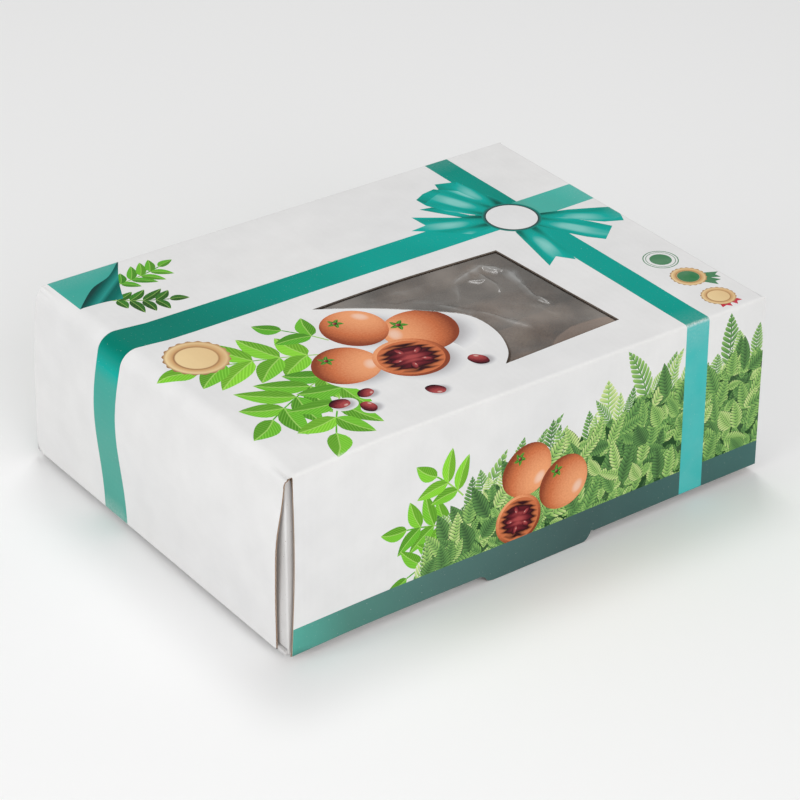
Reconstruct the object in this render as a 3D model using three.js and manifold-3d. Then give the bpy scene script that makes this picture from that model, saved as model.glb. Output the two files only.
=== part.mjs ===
// Hinged-lid fruit carton of fluted board, shut, with a clear window and a filling of curved brown pods.
// Millimetres, +Z up. +X runs from the hinge wall to the far end, -Y is the front with the lock tab.
// Built from the left front fold of the lid, then moved so that the origin is under the middle.
import * as THREE from 'three';
import { mergeVertices } from 'three/addons/utils/BufferGeometryUtils.js';
import Module from 'manifold-3d';

const wasm = await Module();
wasm.setup();

// Driving dimensions of the board
const board = 1.5;
const gap = 0.3;
const lidLength = 240;
const lidDepth = 175;
const cartonHeight = 80.5; // from the folds of the base to the top of the lid
const baseSag = 3; // the loaded base hangs this far below its folds

// How far the foot of each outer flap stands out from its fold
const frontFlareLeft = 3.2;
const frontFlareRight = 2.0;
const backFlare = 5.2;
const rightFlare = 1.2;

// The tray's walls: how far in from the lid's folds they stand, and how far they lean out
const trayInsetLeft = 2.1;
const trayInsetRight = 3.9;
const trayLeanLeft = 2.7;
const trayLeanRight = 2.0;
const trayBackInset = 3.9;
const trayBackLean = 5.2;
const trayEndInset = 2.1;
const trayTop = cartonHeight - board - 1;
const tabWidth = 20; // the glued tabs in the corners of the far end
const dustFlapWidth = 62;
const wallCornerCut = 3.5; // the long walls are cut back at the top, under the rounded fold

// The hinge wall and its rounded fold. The lid turns about the line that the fold straightens round,
// foldRadius * (1 - PI / 4) in from the wall's face and down from the lid's.
const foldRadius = 6.5;
const wallBulge = 3.4;
const wallBulgeEdge = 1.2;
const wallEdgeInset = 4.2;
const wallEdgeInsetTop = 2.6;
const lidFoldInset = 2.0;

// The front flap's foot and its lock tab
const flapFoot = 1.1;
const flapStart = 3.9;
const lockLeft = 95;
const lockRight = 150.4;
const lockDrop = 3.6;

// The window in the lid and the film glued under it
const windowTip = [81, 95.8];
const windowBackCorner = [174, 94.3];
const windowFrontCorner = [178, 19.7];
const windowFoot = [118.5, 18];
const windowWave = [[126, 26], [131.5, 40], [130.5, 56], [119.5, 68], [102, 82.5]];
const filmThickness = 0.3;
const filmX = [70, 189];
const filmY = [9, 107];

// The filling
const podSides = 8;
const podSteps = 16;
const podLength = 104;
const podRadius = 11.4;
const podFlatness = 0.84;
const podStalk = 1.7;
const podLayers = [
  { rows: 4, columns: 2, shift: 0 },
  { rows: 4, columns: 2, shift: 0.5 },
  { rows: 5, columns: 2, shift: 0 },
];
const podRoom = { x: [5.5, 231], y: [8, 166] };
const podClearance = 0.35;
const heightCell = 1.5;

const white = { color: 0xe9e9ea, roughness: 0.45, metalness: 0 };
const inside = { color: 0xb8977a, roughness: 0.9, metalness: 0 };
const film = { color: 0xb9bdbe, roughness: 0.12, metalness: 0, transparent: true, opacity: 0.3 };
const shell = { color: 0x9a6a45, roughness: 0.85, metalness: 0 };

const carton = new THREE.Group();

function addPiece(name, geometry, finish) {
  const mesh = new THREE.Mesh(geometry, new THREE.MeshStandardMaterial(finish));
  mesh.name = name;
  carton.add(mesh);
  return mesh;
}

function mix(a, b, t) {
  return a + (b - a) * t;
}

function smooth(t) {
  const s = THREE.MathUtils.clamp(t, 0, 1);
  return s * s * (3 - 2 * s);
}

// A closed skin over two facing grids of points, with its faces turned outward
function panel(outer, inner, columns, rows) {
  const points = [];
  const faces = [];
  const perLayer = (columns + 1) * (rows + 1);
  for (const side of [outer, inner]) {
    for (let j = 0; j <= rows; j++) {
      for (let i = 0; i <= columns; i++) {
        points.push(...side(i / columns, j / rows));
      }
    }
  }
  const at = (i, j, layer) => layer * perLayer + j * (columns + 1) + i;
  const quad = (a, b, c, d) => faces.push(a, b, c, a, c, d);
  for (let j = 0; j < rows; j++) {
    for (let i = 0; i < columns; i++) {
      quad(at(i, j, 0), at(i + 1, j, 0), at(i + 1, j + 1, 0), at(i, j + 1, 0));
      quad(at(i, j, 1), at(i, j + 1, 1), at(i + 1, j + 1, 1), at(i + 1, j, 1));
    }
  }
  for (let i = 0; i < columns; i++) {
    quad(at(i, 0, 0), at(i, 0, 1), at(i + 1, 0, 1), at(i + 1, 0, 0));
    quad(at(i, rows, 0), at(i + 1, rows, 0), at(i + 1, rows, 1), at(i, rows, 1));
  }
  for (let j = 0; j < rows; j++) {
    quad(at(0, j, 0), at(0, j + 1, 0), at(0, j + 1, 1), at(0, j, 1));
    quad(at(columns, j, 0), at(columns, j, 1), at(columns, j + 1, 1), at(columns, j + 1, 0));
  }
  return facingOut(points, faces);
}

function facingOut(points, faces) {
  const geometry = new THREE.BufferGeometry();
  geometry.setAttribute('position', new THREE.Float32BufferAttribute(points, 3));
  let volume = 0;
  const corner = (n) => new THREE.Vector3().fromArray(points, 3 * n);
  for (let f = 0; f < faces.length; f += 3) {
    const [a, b, c] = [corner(faces[f]), corner(faces[f + 1]), corner(faces[f + 2])];
    volume += a.dot(b.cross(c));
  }
  geometry.setIndex(volume > 0 ? faces : faces.toReversed());
  geometry.computeVertexNormals();
  return geometry;
}

function toSolid(geometry) {
  const bare = geometry.clone();
  bare.deleteAttribute('normal');
  bare.deleteAttribute('uv');
  const merged = mergeVertices(bare, 1e-4);
  return new wasm.Manifold(new wasm.Mesh({
    numProp: 3,
    vertProperties: new Float32Array(merged.attributes.position.array),
    triVerts: new Uint32Array(merged.index.array),
  }));
}

function joined(first, second) {
  const mesh = toSolid(first).add(toSolid(second)).getMesh();
  const geometry = new THREE.BufferGeometry();
  geometry.setAttribute('position', new THREE.BufferAttribute(mesh.vertProperties, 3));
  geometry.setIndex(new THREE.BufferAttribute(mesh.triVerts, 1));
  geometry.computeVertexNormals();
  return geometry;
}

// Where the faces of the flaps and of the tray's walls run, at a height above the base's folds
function outward(z) {
  return 1 - z / (cartonHeight - board);
}

function frontFlapFace(x, z) {
  return -mix(frontFlareLeft, frontFlareRight, x / lidLength) * outward(z);
}

function backFlapFace(z) {
  return lidDepth + backFlare * outward(z);
}

function rightFlapFace(z) {
  return lidLength + rightFlare * outward(z);
}

function trayFrontFace(x, z) {
  const along = x / lidLength;
  return mix(trayInsetLeft, trayInsetRight, along) - mix(trayLeanLeft, trayLeanRight, along) * outward(z);
}

function trayBackFace(z) {
  return lidDepth - trayBackInset + trayBackLean * outward(z);
}

function trayEndFace(z) {
  return lidLength - trayEndInset + rightFlare * outward(z);
}

function addBase() {
  const frontEdge = trayFrontFace(0, 0) + board + gap + 1;
  const backEdge = trayBackFace(0) - board - gap;
  const endEdge = trayEndFace(0) - board - gap;
  const startEdge = board + gap;
  const sag = (u, v) => {
    const inFrom = (t) => smooth(Math.min(t, 1 - t) / 0.3);
    return baseSag * inFrom(u) * inFrom(v);
  };
  const level = (rise) => (u, v) => [
    mix(startEdge, endEdge, u),
    mix(frontEdge + u * 1.5, backEdge, v),
    rise - sag(u, v),
  ];
  addPiece('base_panel', panel(level(0), level(board), 10, 10), inside);
}

function addTrayWalls() {
  const wallStart = board + gap;
  const wallEnd = trayEndFace(trayTop) - board - gap;
  const along = (u, v) => mix(wallStart + wallCornerCut * Math.max(4 * v - 3, 0), wallEnd, u);
  const frontAt = (depth) => (u, v) => {
    const [x, z] = [along(u, v), v * trayTop];
    return [x, trayFrontFace(x, z) + depth, z];
  };
  const backAt = (depth) => (u, v) => {
    const z = v * trayTop;
    return [along(u, v), trayBackFace(z) - depth, z];
  };
  const endAt = (depth) => (u, v) => {
    const z = v * trayTop;
    const x = trayEndFace(z) - depth;
    return [x, mix(trayFrontFace(x, z), trayBackFace(z), u), z];
  };
  addPiece('tray_front_wall', panel(frontAt(0), frontAt(board), 2, 4), white);
  addPiece('tray_back_wall', panel(backAt(0), backAt(board), 2, 4), white);
  addPiece('tray_end_wall', panel(endAt(0), endAt(board), 2, 2), white);
}

// The ends of the tray's long walls, folded in behind the hinge wall and behind the end wall
function addTrayFolds() {
  const foot = board + gap;
  const behindWall = (fromFront, depth) => (u, v) => {
    const z = mix(foot, trayTop - 4, v);
    const start = fromFront ? trayFrontFace(foot, z) + board + gap : trayBackFace(z) - board - gap;
    const reach = (dustFlapWidth - u * v * 4) * u;
    return [foot + depth, fromFront ? start + reach : start - reach, z];
  };
  const behindEnd = (fromFront, depth) => (u, v) => {
    const z = mix(foot, trayTop - 2, v);
    const x = trayEndFace(z) - board - gap - depth;
    const start = fromFront ? trayFrontFace(x, z) + board + gap : trayBackFace(z) - board - gap;
    return [x, fromFront ? start + u * tabWidth : start - u * tabWidth, z];
  };
  for (const [name, fromFront] of [['front', true], ['back', false]]) {
    const dust = panel(behindWall(fromFront, 0), behindWall(fromFront, board), 2, 2);
    const tab = panel(behindEnd(fromFront, 0), behindEnd(fromFront, board), 1, 2);
    addPiece(`dust_flap_${name}`, dust, white);
    addPiece(`tray_corner_tab_${name}`, tab, inside);
  }
}

// A stretch of the rounded fold, from one angle to another, at a depth below the outer face
function foldPoint(angle, depth) {
  const r = foldRadius - depth;
  return [foldRadius + r * Math.cos(angle), cartonHeight - foldRadius + r * Math.sin(angle)];
}

const foldSplit = THREE.MathUtils.degToRad(135);
const splitHalf = gap / 2 / (foldRadius - board);

function addHingeWall() {
  const straight = cartonHeight - foldRadius;
  const share = 0.75; // of the rows, on the flat of the wall
  const wallAt = (depth) => (u, v) => {
    const rise = Math.min(v / share, 1);
    const turn = Math.max((v - share) / (1 - share), 0);
    const inset = mix(wallEdgeInset, wallEdgeInsetTop, smooth((rise - 0.6) / 0.4));
    const flared = backFlapFace(rise * straight) - gap;
    const back = mix(flared, lidDepth - wallEdgeInsetTop, smooth((rise - 0.86) / 0.14));
    const y = mix(inset, back, u);
    if (turn > 0) {
      const [x, z] = foldPoint(mix(Math.PI, foldSplit + splitHalf, turn), depth);
      return [x, y, z];
    }
    const across = Math.sin(Math.PI * u) ** 0.8;
    const bulge = mix(wallBulgeEdge, wallBulge, across) * Math.sin(Math.PI * rise) ** 2;
    return [depth - bulge, y, rise * straight];
  };
  addPiece('hinge_wall', panel(wallAt(0), wallAt(board), 8, 12), white);
}

function windowPath() {
  const path = new THREE.Path();
  path.moveTo(...windowTip);
  path.quadraticCurveTo(128, 97.4, ...windowBackCorner);
  path.quadraticCurveTo(177.4, 58, ...windowFrontCorner);
  path.lineTo(...windowFoot);
  path.splineThru([...windowWave, windowTip].map(([x, y]) => new THREE.Vector2(x, y)));
  return path;
}

function plate(shape, thickness, bottom) {
  const geometry = new THREE.ExtrudeGeometry(shape, { depth: thickness, bevelEnabled: false, curveSegments: 5 });
  geometry.translate(0, 0, bottom);
  return geometry;
}

function addLidTop() {
  const overlap = 0.4;
  const outline = new THREE.Shape();
  outline.moveTo(foldRadius, 0);
  outline.lineTo(lidLength, 0);
  outline.lineTo(lidLength, lidDepth);
  outline.lineTo(foldRadius, lidDepth);
  outline.holes.push(windowPath());
  const foldAt = (depth) => (u, v) => {
    const y = mix(lidFoldInset, lidDepth - lidFoldInset, u);
    if (v === 1) {
      return [foldRadius + overlap, y, cartonHeight - depth];
    }
    const [x, z] = foldPoint(mix(foldSplit - splitHalf, Math.PI / 2, v / 0.8), depth);
    return [x, y, z];
  };
  const fold = panel(foldAt(0), foldAt(board), 1, 5);
  addPiece('lid_top', joined(plate(outline, board, cartonHeight - board), fold), white);
}

// The outline of the front flap, seen from the front, with the tab that locks it below its foot
function frontFlapShape() {
  const top = cartonHeight - board - gap;
  const lockFoot = flapFoot - lockDrop;
  const shape = new THREE.Shape();
  shape.moveTo(flapStart, top);
  shape.lineTo(flapStart, flapFoot);
  shape.lineTo(lockLeft - 1.5, flapFoot);
  shape.quadraticCurveTo(lockLeft - 0.2, flapFoot, lockLeft + 0.6, flapFoot - 1.2);
  shape.quadraticCurveTo(lockLeft + 2.2, lockFoot, lockLeft + 5, lockFoot);
  shape.lineTo(lockRight - 3.4, lockFoot);
  shape.quadraticCurveTo(lockRight - 2.2, lockFoot, lockRight - 1.6, lockFoot + 1);
  shape.quadraticCurveTo(lockRight - 0.6, flapFoot, lockRight + 1.2, flapFoot);
  shape.lineTo(lidLength, flapFoot);
  shape.lineTo(lidLength, top);
  return shape;
}

function addFrontFlap() {
  const geometry = plate(frontFlapShape(), board, 0);
  const places = geometry.attributes.position;
  for (let n = 0; n < places.count; n++) {
    const [along, z, depth] = [places.getX(n), places.getY(n), places.getZ(n)];
    const x = along === lidLength ? rightFlapFace(z) : along;
    places.setXYZ(n, x, frontFlapFace(x, z) + board - depth, z);
  }
  geometry.computeVertexNormals();
  addPiece('lid_front_flap', geometry, white);
}

function addOtherFlaps() {
  const top = cartonHeight - board - gap;
  const backAt = (depth) => (u, v) => {
    const z = mix(flapFoot, top, v);
    return [mix(flapStart, rightFlapFace(z), u), backFlapFace(z) - depth, z];
  };
  const rightAt = (depth) => (u, v) => {
    const z = mix(flapFoot, top, v);
    const x = rightFlapFace(z) - depth;
    return [x, mix(frontFlapFace(x, z) + board + gap, backFlapFace(z) - board - gap, u), z];
  };
  const tabAt = (atFront, depth) => (u, v) => {
    const z = mix(flapFoot + 3, top - 2, v);
    const x = rightFlapFace(z) - board - gap - u * tabWidth;
    const face = atFront ? frontFlapFace(x, z) + board + gap + depth : backFlapFace(z) - board - gap - depth;
    return [x, face, z];
  };
  addPiece('lid_back_flap', panel(backAt(0), backAt(board), 2, 2), white);
  addPiece('lid_end_flap', panel(rightAt(0), rightAt(board), 2, 2), white);
  addPiece('lid_corner_tab_front', panel(tabAt(true, 0), tabAt(true, board), 1, 2), white);
  addPiece('lid_corner_tab_back', panel(tabAt(false, 0), tabAt(false, board), 1, 2), white);
}

function addFilm() {
  const outline = new THREE.Shape();
  outline.moveTo(filmX[0], filmY[0]);
  outline.lineTo(filmX[1], filmY[0]);
  outline.lineTo(filmX[1], filmY[1]);
  outline.lineTo(filmX[0], filmY[1]);
  const bottom = cartonHeight - board - gap - filmThickness;
  addPiece('window_film', plate(outline, filmThickness, bottom), film);
}

// The same odd number between -0.5 and 0.5 for the same pod and trait, wherever it is worked out
function vary(pod, trait) {
  const wave = Math.sin(pod * 12.9898 + trait * 78.233) * 43758.5453;
  return wave - Math.floor(wave) - 0.5;
}

function podTraits(index, layer, row, column) {
  const roomX = podRoom.x[1] - podRoom.x[0];
  const roomY = podRoom.y[1] - podRoom.y[0];
  const stepY = roomY / (layer.rows + layer.shift);
  const bendSide = (row + column) % 2 === 0 ? 1 : -1;
  return {
    length: podLength + 10 * vary(index, 1),
    radius: podRadius + 1.6 * vary(index, 2),
    bend: bendSide * THREE.MathUtils.degToRad(46 + 34 * vary(index, 3)),
    heading: THREE.MathUtils.degToRad(16 * vary(index, 4) + 180 * (index % 2)),
    seeds: 4 + Math.round(1.4 + 2 * vary(index, 5)),
    x: podRoom.x[0] + roomX * (column + 0.5) / layer.columns + 5 * vary(index, 6),
    y: podRoom.y[0] + stepY * (row + 0.5 + layer.shift / 2) + 4 * vary(index, 7),
  };
}

// Distance round the pod's middle line at t from 0, the stalk, to 1, the tip
function podGirth(traits, t) {
  const neck = smooth((t - 0.03) / 0.13);
  const tip = Math.sqrt(Math.max(1 - Math.max((t - 0.86) / 0.14, 0) ** 2, 0));
  const swell = 0.93 + 0.07 * Math.cos(2 * Math.PI * (traits.seeds * (t - 0.08) / 0.9 - 0.5));
  return mix(podStalk, traits.radius * swell, neck) * Math.max(tip, 0.08);
}

function podPoint(traits, t, angle) {
  const arc = traits.length / traits.bend;
  const turn = traits.bend * (t - 0.5);
  const girth = podGirth(traits, t);
  const side = girth * Math.cos(angle);
  const alongX = (arc - side) * Math.sin(turn);
  const acrossY = arc * (1 - Math.cos(traits.bend / 4)) - (arc - side) * Math.cos(turn) + arc * Math.cos(traits.bend / 4);
  const [c, s] = [Math.cos(traits.heading), Math.sin(traits.heading)];
  return [
    traits.x + c * alongX - s * acrossY,
    traits.y + s * alongX + c * acrossY,
    podFlatness * girth * Math.sin(angle),
  ];
}

function eachPodPoint(traits, steps, sides, use) {
  for (let i = 0; i <= steps; i++) {
    for (let j = 0; j < sides; j++) {
      use(podPoint(traits, i / steps, 2 * Math.PI * j / sides));
    }
  }
}

function keepInRoom(traits) {
  const box = new THREE.Box3();
  eachPodPoint(traits, 30, 12, (p) => box.expandByPoint(new THREE.Vector3(...p)));
  const push = (low, high, room) => Math.max(room[0] - low, 0) + Math.min(room[1] - high, 0);
  traits.x += push(box.min.x, box.max.x, podRoom.x);
  traits.y += push(box.min.y, box.max.y, podRoom.y);
}

// How high the pile reaches over each cell of the floor
const cellsAcross = Math.ceil(lidDepth / heightCell) + 2;
const cellOf = (x, y) => Math.floor(x / heightCell) * cellsAcross + Math.floor(y / heightCell);

function baseLevel(x, y) {
  const inFrom = (t) => smooth(Math.min(t, 1 - t) / 0.3);
  return board - baseSag * inFrom(x / lidLength) * inFrom(y / lidDepth);
}

function restPod(traits, pile) {
  let rest = -Infinity;
  eachPodPoint(traits, 90, 24, ([x, y, z]) => {
    const below = pile.get(cellOf(x, y)) ?? baseLevel(x, y) + 0.3;
    rest = Math.max(rest, below - z);
  });
  traits.z = rest + podClearance;
  eachPodPoint(traits, 90, 24, ([x, y, z]) => {
    for (const dx of [-heightCell, 0, heightCell]) {
      for (const dy of [-heightCell, 0, heightCell]) {
        const cell = cellOf(x + dx, y + dy);
        pile.set(cell, Math.max(pile.get(cell) ?? -Infinity, z + traits.z));
      }
    }
  });
}

function podGeometry(traits) {
  const points = [];
  const faces = [];
  eachPodPoint(traits, podSteps, podSides, ([x, y, z]) => points.push(x, y, z + traits.z));
  for (let i = 0; i < podSteps; i++) {
    for (let j = 0; j < podSides; j++) {
      const next = (j + 1) % podSides;
      const [a, b] = [i * podSides + j, i * podSides + next];
      const [c, d] = [a + podSides, b + podSides];
      faces.push(a, b, d, a, d, c);
    }
  }
  for (let j = 1; j < podSides - 1; j++) {
    const last = podSteps * podSides;
    faces.push(0, j + 1, j, last, last + j, last + j + 1);
  }
  return facingOut(points, faces);
}

function addPods() {
  const pile = new Map();
  let index = 0;
  for (const layer of podLayers) {
    for (let row = 0; row < layer.rows; row++) {
      for (let column = 0; column < layer.columns; column++) {
        const traits = podTraits(index, layer, row, column);
        keepInRoom(traits);
        restPod(traits, pile);
        index += 1;
        addPiece(`pod_${String(index).padStart(2, '0')}`, podGeometry(traits), shell);
      }
    }
  }
}

addBase();
addTrayWalls();
addTrayFolds();
addHingeWall();
addPods();
addLidTop();
addFrontFlap();
addOtherFlaps();
addFilm();

const extent = new THREE.Box3().setFromObject(carton);
const middle = extent.getCenter(new THREE.Vector3());
carton.position.set(-middle.x, -middle.y, -extent.min.z);

export default carton;
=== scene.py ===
import bpy
import math
import random
from mathutils import Matrix, Vector, noise
from mathutils.geometry import delaunay_2d_cdt


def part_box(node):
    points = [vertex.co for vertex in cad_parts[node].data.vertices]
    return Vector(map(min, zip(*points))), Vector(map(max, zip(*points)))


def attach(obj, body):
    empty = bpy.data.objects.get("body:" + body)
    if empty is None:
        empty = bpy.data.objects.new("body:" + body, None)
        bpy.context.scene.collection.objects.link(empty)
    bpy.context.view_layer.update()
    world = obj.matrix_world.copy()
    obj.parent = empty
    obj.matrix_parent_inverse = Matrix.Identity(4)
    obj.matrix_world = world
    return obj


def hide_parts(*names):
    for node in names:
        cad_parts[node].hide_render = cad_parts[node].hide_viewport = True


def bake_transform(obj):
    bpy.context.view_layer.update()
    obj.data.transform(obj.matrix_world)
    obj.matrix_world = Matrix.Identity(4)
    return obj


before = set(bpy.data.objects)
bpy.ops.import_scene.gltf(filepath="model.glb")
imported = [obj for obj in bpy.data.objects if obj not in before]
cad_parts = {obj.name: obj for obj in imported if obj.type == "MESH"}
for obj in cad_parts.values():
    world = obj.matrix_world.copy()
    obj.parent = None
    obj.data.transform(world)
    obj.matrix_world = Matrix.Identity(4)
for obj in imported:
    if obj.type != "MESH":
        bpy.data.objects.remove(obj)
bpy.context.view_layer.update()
scene = bpy.context.scene
mm = 0.001

# The carton's own sizes in millimetres, from the left front fold of the lid and the folds of the base
carton = {
    "length": 240.0, "depth": 175.0, "height": 80.5, "board": 1.5, "sag": 3.0,
    "foldRadius": 6.5, "crease": 1.6, "footFold": 0.6, "flapStart": 3.9, "flapFoot": 0.9,
    "frontFlareLeft": 3.2, "frontFlareRight": 2.0, "backFlare": 5.2, "endFlare": 1.2,
    "wallBulge": 3.8, "wallBulgeEdge": 1.2, "wallBulgeInset": 4.2, "wallLean": 1.3, "leanWidth": 10.0,
    "leanBelowFold": 38.0, "droop": 1.7, "droopAlong": 50.0, "droopAcross": 30.0, "lidDip": 0.35,
    "dipFrom": 22.0, "sway": 0.5, "swayFrom": 25.0, "flareFrom": 6.0, "endLeanWidth": 40.0,
    "turnFrom": 0.4, "turnWidth": 1.7,
    "trayInsetLeft": 2.1, "trayInsetRight": 3.9, "trayLeanLeft": 3.4, "trayLeanRight": 2.0,
    "trayBackInset": 3.9, "trayBackLean": 5.2, "trayEndInset": 2.1, "trayTop": 78.0,
}
length, depth, height = carton["length"], carton["depth"], carton["height"]
board, crease, foldRadius = carton["board"], carton["crease"], carton["foldRadius"]
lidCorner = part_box("lid_top")[1]
origin = lidCorner - Vector((length, depth, height)) * mm


def place(x, y, z):
    return origin + Vector((x, y, z)) * mm


def mix(a, b, t):
    return a + (b - a) * t


def smooth(t):
    t = min(max(t, 0.0), 1.0)
    return t * t * (3 - 2 * t)


def around(loop):
    # Each point of a closed loop with the next
    return zip(loop, loop[1:] + loop[:1])


def offSide(x, y, a, b):
    # How far a point lies from the straight line between two others
    dx, dy = b[0] - a[0], b[1] - a[1]
    t = min(max(((x - a[0]) * dx + (y - a[1]) * dy) / (dx * dx + dy * dy), 0), 1)
    return math.hypot(x - a[0] - t * dx, y - a[1] - t * dy)


def gridFaces(columns, rows):
    wide = columns + 1
    firsts = [j * wide + i for j in range(rows) for i in range(columns)]
    return [(a, a + 1, a + wide + 1, a + wide) for a in firsts]


def newPiece(name, mesh):
    piece = bpy.data.objects.new(name, mesh)
    scene.collection.objects.link(piece)
    return piece


# Camera and studio
cameraView = {
    "azimuth": -37.665, "elevation": 30.787, "roll": 1.615, "distance": 1.2304,
    "lens": 133.86, "target": (-0.0017, -0.0051, 0.0350),
}


def makeCamera():
    turn, rise, roll = (math.radians(cameraView[key]) for key in ("azimuth", "elevation", "roll"))
    back = Vector((math.sin(turn) * math.cos(rise), -math.cos(turn) * math.cos(rise), math.sin(rise)))
    level = Vector((0, 0, 1)).cross(back).normalized()
    upright = back.cross(level)
    right = level * math.cos(roll) + upright * math.sin(roll)
    up = upright * math.cos(roll) - level * math.sin(roll)
    data = bpy.data.cameras.new("photoCamera")
    data.lens = cameraView["lens"]
    camera = bpy.data.objects.new("photoCamera", data)
    turned = Matrix((right, up, back)).transposed().to_4x4()
    at = Vector(cameraView["target"]) + back * cameraView["distance"]
    camera.matrix_world = Matrix.Translation(at) @ turned
    scene.collection.objects.link(camera)
    scene.camera = camera


studio = {
    "world": (0.99, 0.99, 0.985), "worldStrength": 0.5,
    "floor": (0.93, 0.93, 0.93), "floorSize": 12.0,
    "lights": {
        "keyLight": {"at": (-0.35, -1.3, 0.75), "size": 1.0, "power": 8.3},
        "sideLight": {"at": (-1.3, -0.1, 0.7), "size": 0.9, "power": 5.8},
        "topLight": {"at": (0.3, 0.5, 1.5), "size": 0.45, "power": 5.0},
    },
}


def makeStudio():
    scene.view_settings.view_transform = "Standard"
    world = bpy.data.worlds.new("studioWorld")
    world.use_nodes = True
    sky = world.node_tree.nodes["Background"]
    sky.inputs["Color"].default_value = (*studio["world"], 1)
    sky.inputs["Strength"].default_value = studio["worldStrength"]
    scene.world = world
    for name, light in studio["lights"].items():
        data = bpy.data.lights.new(name, "AREA")
        data.size = light["size"]
        data.energy = light["power"]
        lamp = bpy.data.objects.new(name, data)
        lamp.location = light["at"]
        lamp.rotation_euler = (-Vector(light["at"])).to_track_quat("-Z", "Y").to_euler()
        scene.collection.objects.link(lamp)
    half = studio["floorSize"] / 2
    mesh = bpy.data.meshes.new("floor")
    corners = [(-half, -half, 0), (half, -half, 0), (half, half, 0), (-half, half, 0)]
    mesh.from_pydata(corners, [], [(0, 1, 2, 3)])
    floor = newPiece("floor", mesh)
    material, _, shader = newMaterial("paleFloor", roughness=0.7)
    shader.inputs["Base Color"].default_value = (*studio["floor"], 1)
    mesh.materials.append(material)


# Node helpers
def newMaterial(name, **values):
    material = bpy.data.materials.new(name)
    material.use_nodes = True
    tree = material.node_tree
    shader = tree.nodes["Principled BSDF"]
    for key, value in values.items():
        shader.inputs[key.replace("_", " ").title()].default_value = value
    return material, tree, shader


def feed(tree, node, inputs):
    for key, value in inputs.items():
        if isinstance(value, bpy.types.NodeSocket):
            tree.links.new(value, node.inputs[key])
        else:
            node.inputs[key].default_value = value


def addNode(tree, kind, inputs=None, **settings):
    node = tree.nodes.new(kind)
    for key, value in settings.items():
        setattr(node, key, value)
    feed(tree, node, inputs or {})
    return node


def mathNode(tree, operation, *values):
    node = addNode(tree, "ShaderNodeMath", dict(enumerate(values)), operation=operation)
    return node.outputs[0]


def plus(tree, a, b):
    return mathNode(tree, "ADD", a, b)


def minus(tree, a, b):
    return mathNode(tree, "SUBTRACT", a, b)


def times(tree, a, b):
    return mathNode(tree, "MULTIPLY", a, b)


def sine(tree, value):
    return mathNode(tree, "SINE", value)


def absolute(tree, value):
    return mathNode(tree, "ABSOLUTE", value)


def scaled(tree, vector, scale):
    node = vectorNode(tree, "SCALE", vector)
    feed(tree, node, {"Scale": scale})
    return node.outputs[0]


def partsOf(tree, vector):
    return addNode(tree, "ShaderNodeSeparateXYZ", {0: vector}).outputs


def spotOf(tree):
    return addNode(tree, "ShaderNodeTexCoord").outputs["Object"]


def vectorNode(tree, operation, *values):
    return addNode(tree, "ShaderNodeVectorMath", dict(enumerate(values)), operation=operation)


def mixColor(tree, share, first, second, blend="MIX"):
    inputs = {0: share, 6: first if not isinstance(first, tuple) else (*first, 1),
              7: second if not isinstance(second, tuple) else (*second, 1)}
    return addNode(tree, "ShaderNodeMix", inputs, data_type="RGBA", blend_type=blend).outputs[2]


def rampNode(tree, value, stops):
    node = addNode(tree, "ShaderNodeValToRGB", {0: value})
    ramp = node.color_ramp
    while len(ramp.elements) < len(stops):
        ramp.elements.new(0.5)
    for element, (at, color) in zip(ramp.elements, stops):
        element.position = at
        element.color = (*color, 1)
    return node.outputs[0]


def rangeNode(tree, value, low, high, toLow=0.0, toHigh=1.0):
    inputs = {0: value, 1: low, 2: high, 3: toLow, 4: toHigh}
    return addNode(tree, "ShaderNodeMapRange", inputs).outputs[0]


def noiseNode(tree, where, scale, detail=2.0, rough=0.5):
    inputs = {"Vector": where, "Scale": scale, "Detail": detail, "Roughness": rough}
    return addNode(tree, "ShaderNodeTexNoise", inputs).outputs[0]


def addBump(tree, shader, height, strength, distance):
    bump = addNode(tree, "ShaderNodeBump", {"Height": height, "Strength": strength, "Distance": distance})
    tree.links.new(bump.outputs[0], shader.inputs["Normal"])


def newGroup(name, inputs, outputs):
    tree = bpy.data.node_groups.new(name, "ShaderNodeTree")
    for label, kind, value in inputs:
        socket = tree.interface.new_socket(label, in_out="INPUT", socket_type=kind)
        socket.default_value = value
    for label, kind in outputs:
        tree.interface.new_socket(label, in_out="OUTPUT", socket_type=kind)
    return tree, tree.nodes.new("NodeGroupInput").outputs, tree.nodes.new("NodeGroupOutput").inputs


def groupNode(tree, group, inputs):
    node = tree.nodes.new("ShaderNodeGroup")
    node.node_tree = group
    feed(tree, node, inputs)
    return node.outputs


floatSocket, colorSocket, vectorSocket = "NodeSocketFloat", "NodeSocketColor", "NodeSocketVector"

# The printed face of the board: faint flutes, paper mottle, tiny flecks, and a paler line along the creases
# that is partly rubbed paper and partly a painted crease highlight
boardFace = {"flutePitch": 3.3, "paper": (0.80, 0.795, 0.785), "bran": (0.22, 0.13, 0.09)}


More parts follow.
